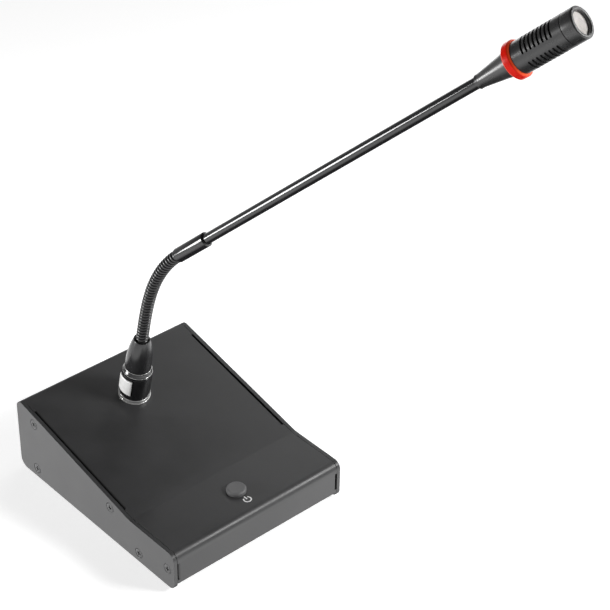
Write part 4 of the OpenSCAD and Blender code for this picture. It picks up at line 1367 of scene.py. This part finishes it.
class PAGING_OT_studio(bpy.types.Operator):
    """Lays the floor, sets the soft lights and places the camera"""
    bl_idname = "paging.studio"
    bl_label = "Studio"

    def execute(self, context):
        scene, studio = context.scene, context.scene.paging_studio
        scene.view_settings.view_transform = "Standard"
        reach = 6.0
        corners = [(-reach, -reach, 0), (reach, -reach, 0), (reach, reach, 0), (-reach, reach, 0)]
        data = mesh_from("floor", (corners, [(0, 1, 2, 3)]))
        floor = bpy.data.objects.new("floor", data)
        scene.collection.objects.link(floor)
        floor.location.z = FLOOR_HEIGHT
        paper = Finish("floor_paper", Specular_IOR_Level=0.1)
        paper.colour(tuple(studio.floor))
        paper.rough(paper.spread(paper.grain(0.004, 3.0), 0.75, 0.85))
        paper.give(paper.shader, "Emission Color", (1, 1, 1))
        paper.shader.inputs["Emission Strength"].default_value = studio.floor_light
        data.materials.append(paper.material)
        floor.visible_glossy = False

        world = bpy.data.worlds.new("studio_world")
        world.use_nodes = True
        scene.world = world
        tree = world.node_tree
        back = tree.nodes["Background"]
        coord = tree.nodes.new("ShaderNodeTexCoord")
        split = tree.nodes.new("ShaderNodeSeparateXYZ")
        tree.links.new(coord.outputs["Generated"], split.inputs[0])
        level = tree.nodes.new("ShaderNodeMapRange")
        level.inputs["From Min"].default_value = -1
        level.inputs["From Max"].default_value = 1
        tree.links.new(split.outputs["Z"], level.inputs["Value"])
        ramp = tree.nodes.new("ShaderNodeValToRGB")
        tree.links.new(level.outputs["Result"], ramp.inputs["Fac"])
        # How bright the surround is, from straight below (0) to straight above (1)
        stops = [(0.0, 0.01), (0.05, 0.02), (0.10, 0.45), (0.20, 1.0), (0.34, 0.85),
                 (0.46, 0.36), (0.52, 0.34), (0.60, 0.12), (0.72, 0.02), (1.0, 0.02)]
        band = ramp.color_ramp
        while len(band.elements) < len(stops):
            band.elements.new(0.5)
        for element, (where, bright) in zip(band.elements, stops):
            element.position = where
            element.color = (bright, bright, bright, 1)
        tree.links.new(ramp.outputs["Color"], back.inputs["Color"])
        # A little brighter in front of the object than behind it
        side = tree.nodes.new("ShaderNodeMapRange")
        side.inputs["From Min"].default_value = -1
        side.inputs["To Min"].default_value = studio.surround * 1.30
        side.inputs["To Max"].default_value = studio.surround * 0.78
        tree.links.new(split.outputs["Y"], side.inputs["Value"])
        tree.links.new(side.outputs["Result"], back.inputs["Strength"])

        softbox("left_box", (-1.3, -0.1, 0.55), (0, 0, 0.05), 0.9, 0.9, 1)
        softbox("front_right_box", (0.75, -0.95, 0.80), (0, -0.05, 0.03), 0.4, 0.35, 13)
        softbox("deck_box", (0.42, 0.10, 0.46), (0.05, -0.06, 0.03), 0.3, 0.3, 0.38)
        softbox("strip_box", (0.32, 0.30, 0.30), (0.03, -0.08, 0.02), 0.2, 0.2, 0.20)
        softbox("stem_box", (-0.87, 0.53, 0.18), (0.03, -0.09, 0.27), 0.34, 0.34, 9)
        softbox("face_box", (0.99, -0.52, 0.68), (0.087, -0.211, 0.367), 0.3, 0.3, 3)

        a, e, roll = studio.turn, studio.rise, studio.roll
        rear = Vector((math.sin(a) * math.cos(e), -math.cos(a) * math.cos(e), math.sin(e)))
        right = Vector((0, 0, 1)).cross(rear).normalized()
        up = rear.cross(right)
        right, up = (right * math.cos(roll) + up * math.sin(roll),
                     up * math.cos(roll) - right * math.sin(roll))
        lens = bpy.data.cameras.new("camera")
        lens.lens = studio.lens
        lens.sensor_width = 36
        lens.clip_start, lens.clip_end = 0.01, 50
        camera = bpy.data.objects.new("camera", lens)
        scene.collection.objects.link(camera)
        view = Matrix((right, up, rear)).transposed().to_4x4()
        view.translation = Vector(studio.camera)
        camera.matrix_world = view
        scene.camera = camera
        return {"FINISHED"}


OPERATORS = [
    PAGING_OT_studio, PAGING_OT_cover, PAGING_OT_cheeks, PAGING_OT_screws, PAGING_OT_feet,
    PAGING_OT_back_sockets, PAGING_OT_talk_button, PAGING_OT_power_mark, PAGING_OT_socket,
    PAGING_OT_latch, PAGING_OT_plug, PAGING_OT_gooseneck, PAGING_OT_stem, PAGING_OT_cone,
    PAGING_OT_signal_ring, PAGING_OT_barrel, PAGING_OT_front_cap, PAGING_OT_front_mesh,
    PAGING_OT_kept_parts,
]


class PAGING_PT_sidebar(bpy.types.Panel):
    """Sizes, finishes and the pieces of the paging microphone"""
    bl_idname = "PAGING_PT_sidebar"
    bl_label = "Paging microphone"
    bl_space_type = "VIEW_3D"
    bl_region_type = "UI"
    bl_category = "Paging mic"

    def draw(self, context):
        for name, group in GROUPS.items():
            box = self.layout.box()
            box.label(text=name.replace("paging_", "").capitalize())
            values = getattr(context.scene, name)
            for key in group.__annotations__:
                box.prop(values, key)
        for operator in OPERATORS:
            self.layout.operator(operator.bl_idname)


def register():
    for made in [*GROUPS.values(), *OPERATORS, PAGING_PT_sidebar]:
        bpy.utils.register_class(made)
    for name, group in GROUPS.items():
        setattr(bpy.types.Scene, name, PointerProperty(type=group))


def unregister():
    for name in GROUPS:
        delattr(bpy.types.Scene, name)
    for made in [PAGING_PT_sidebar, *reversed(OPERATORS), *GROUPS.values()]:
        bpy.utils.unregister_class(made)


def main():
    register()
    FINISH.update(make_finishes(bpy.context.scene.paging_finishes))
    for operator in OPERATORS:
        group, name = operator.bl_idname.split(".")
        getattr(getattr(bpy.ops, group), name)()
    bpy.context.view_layer.update()


if __name__ == "__main__":
    main()
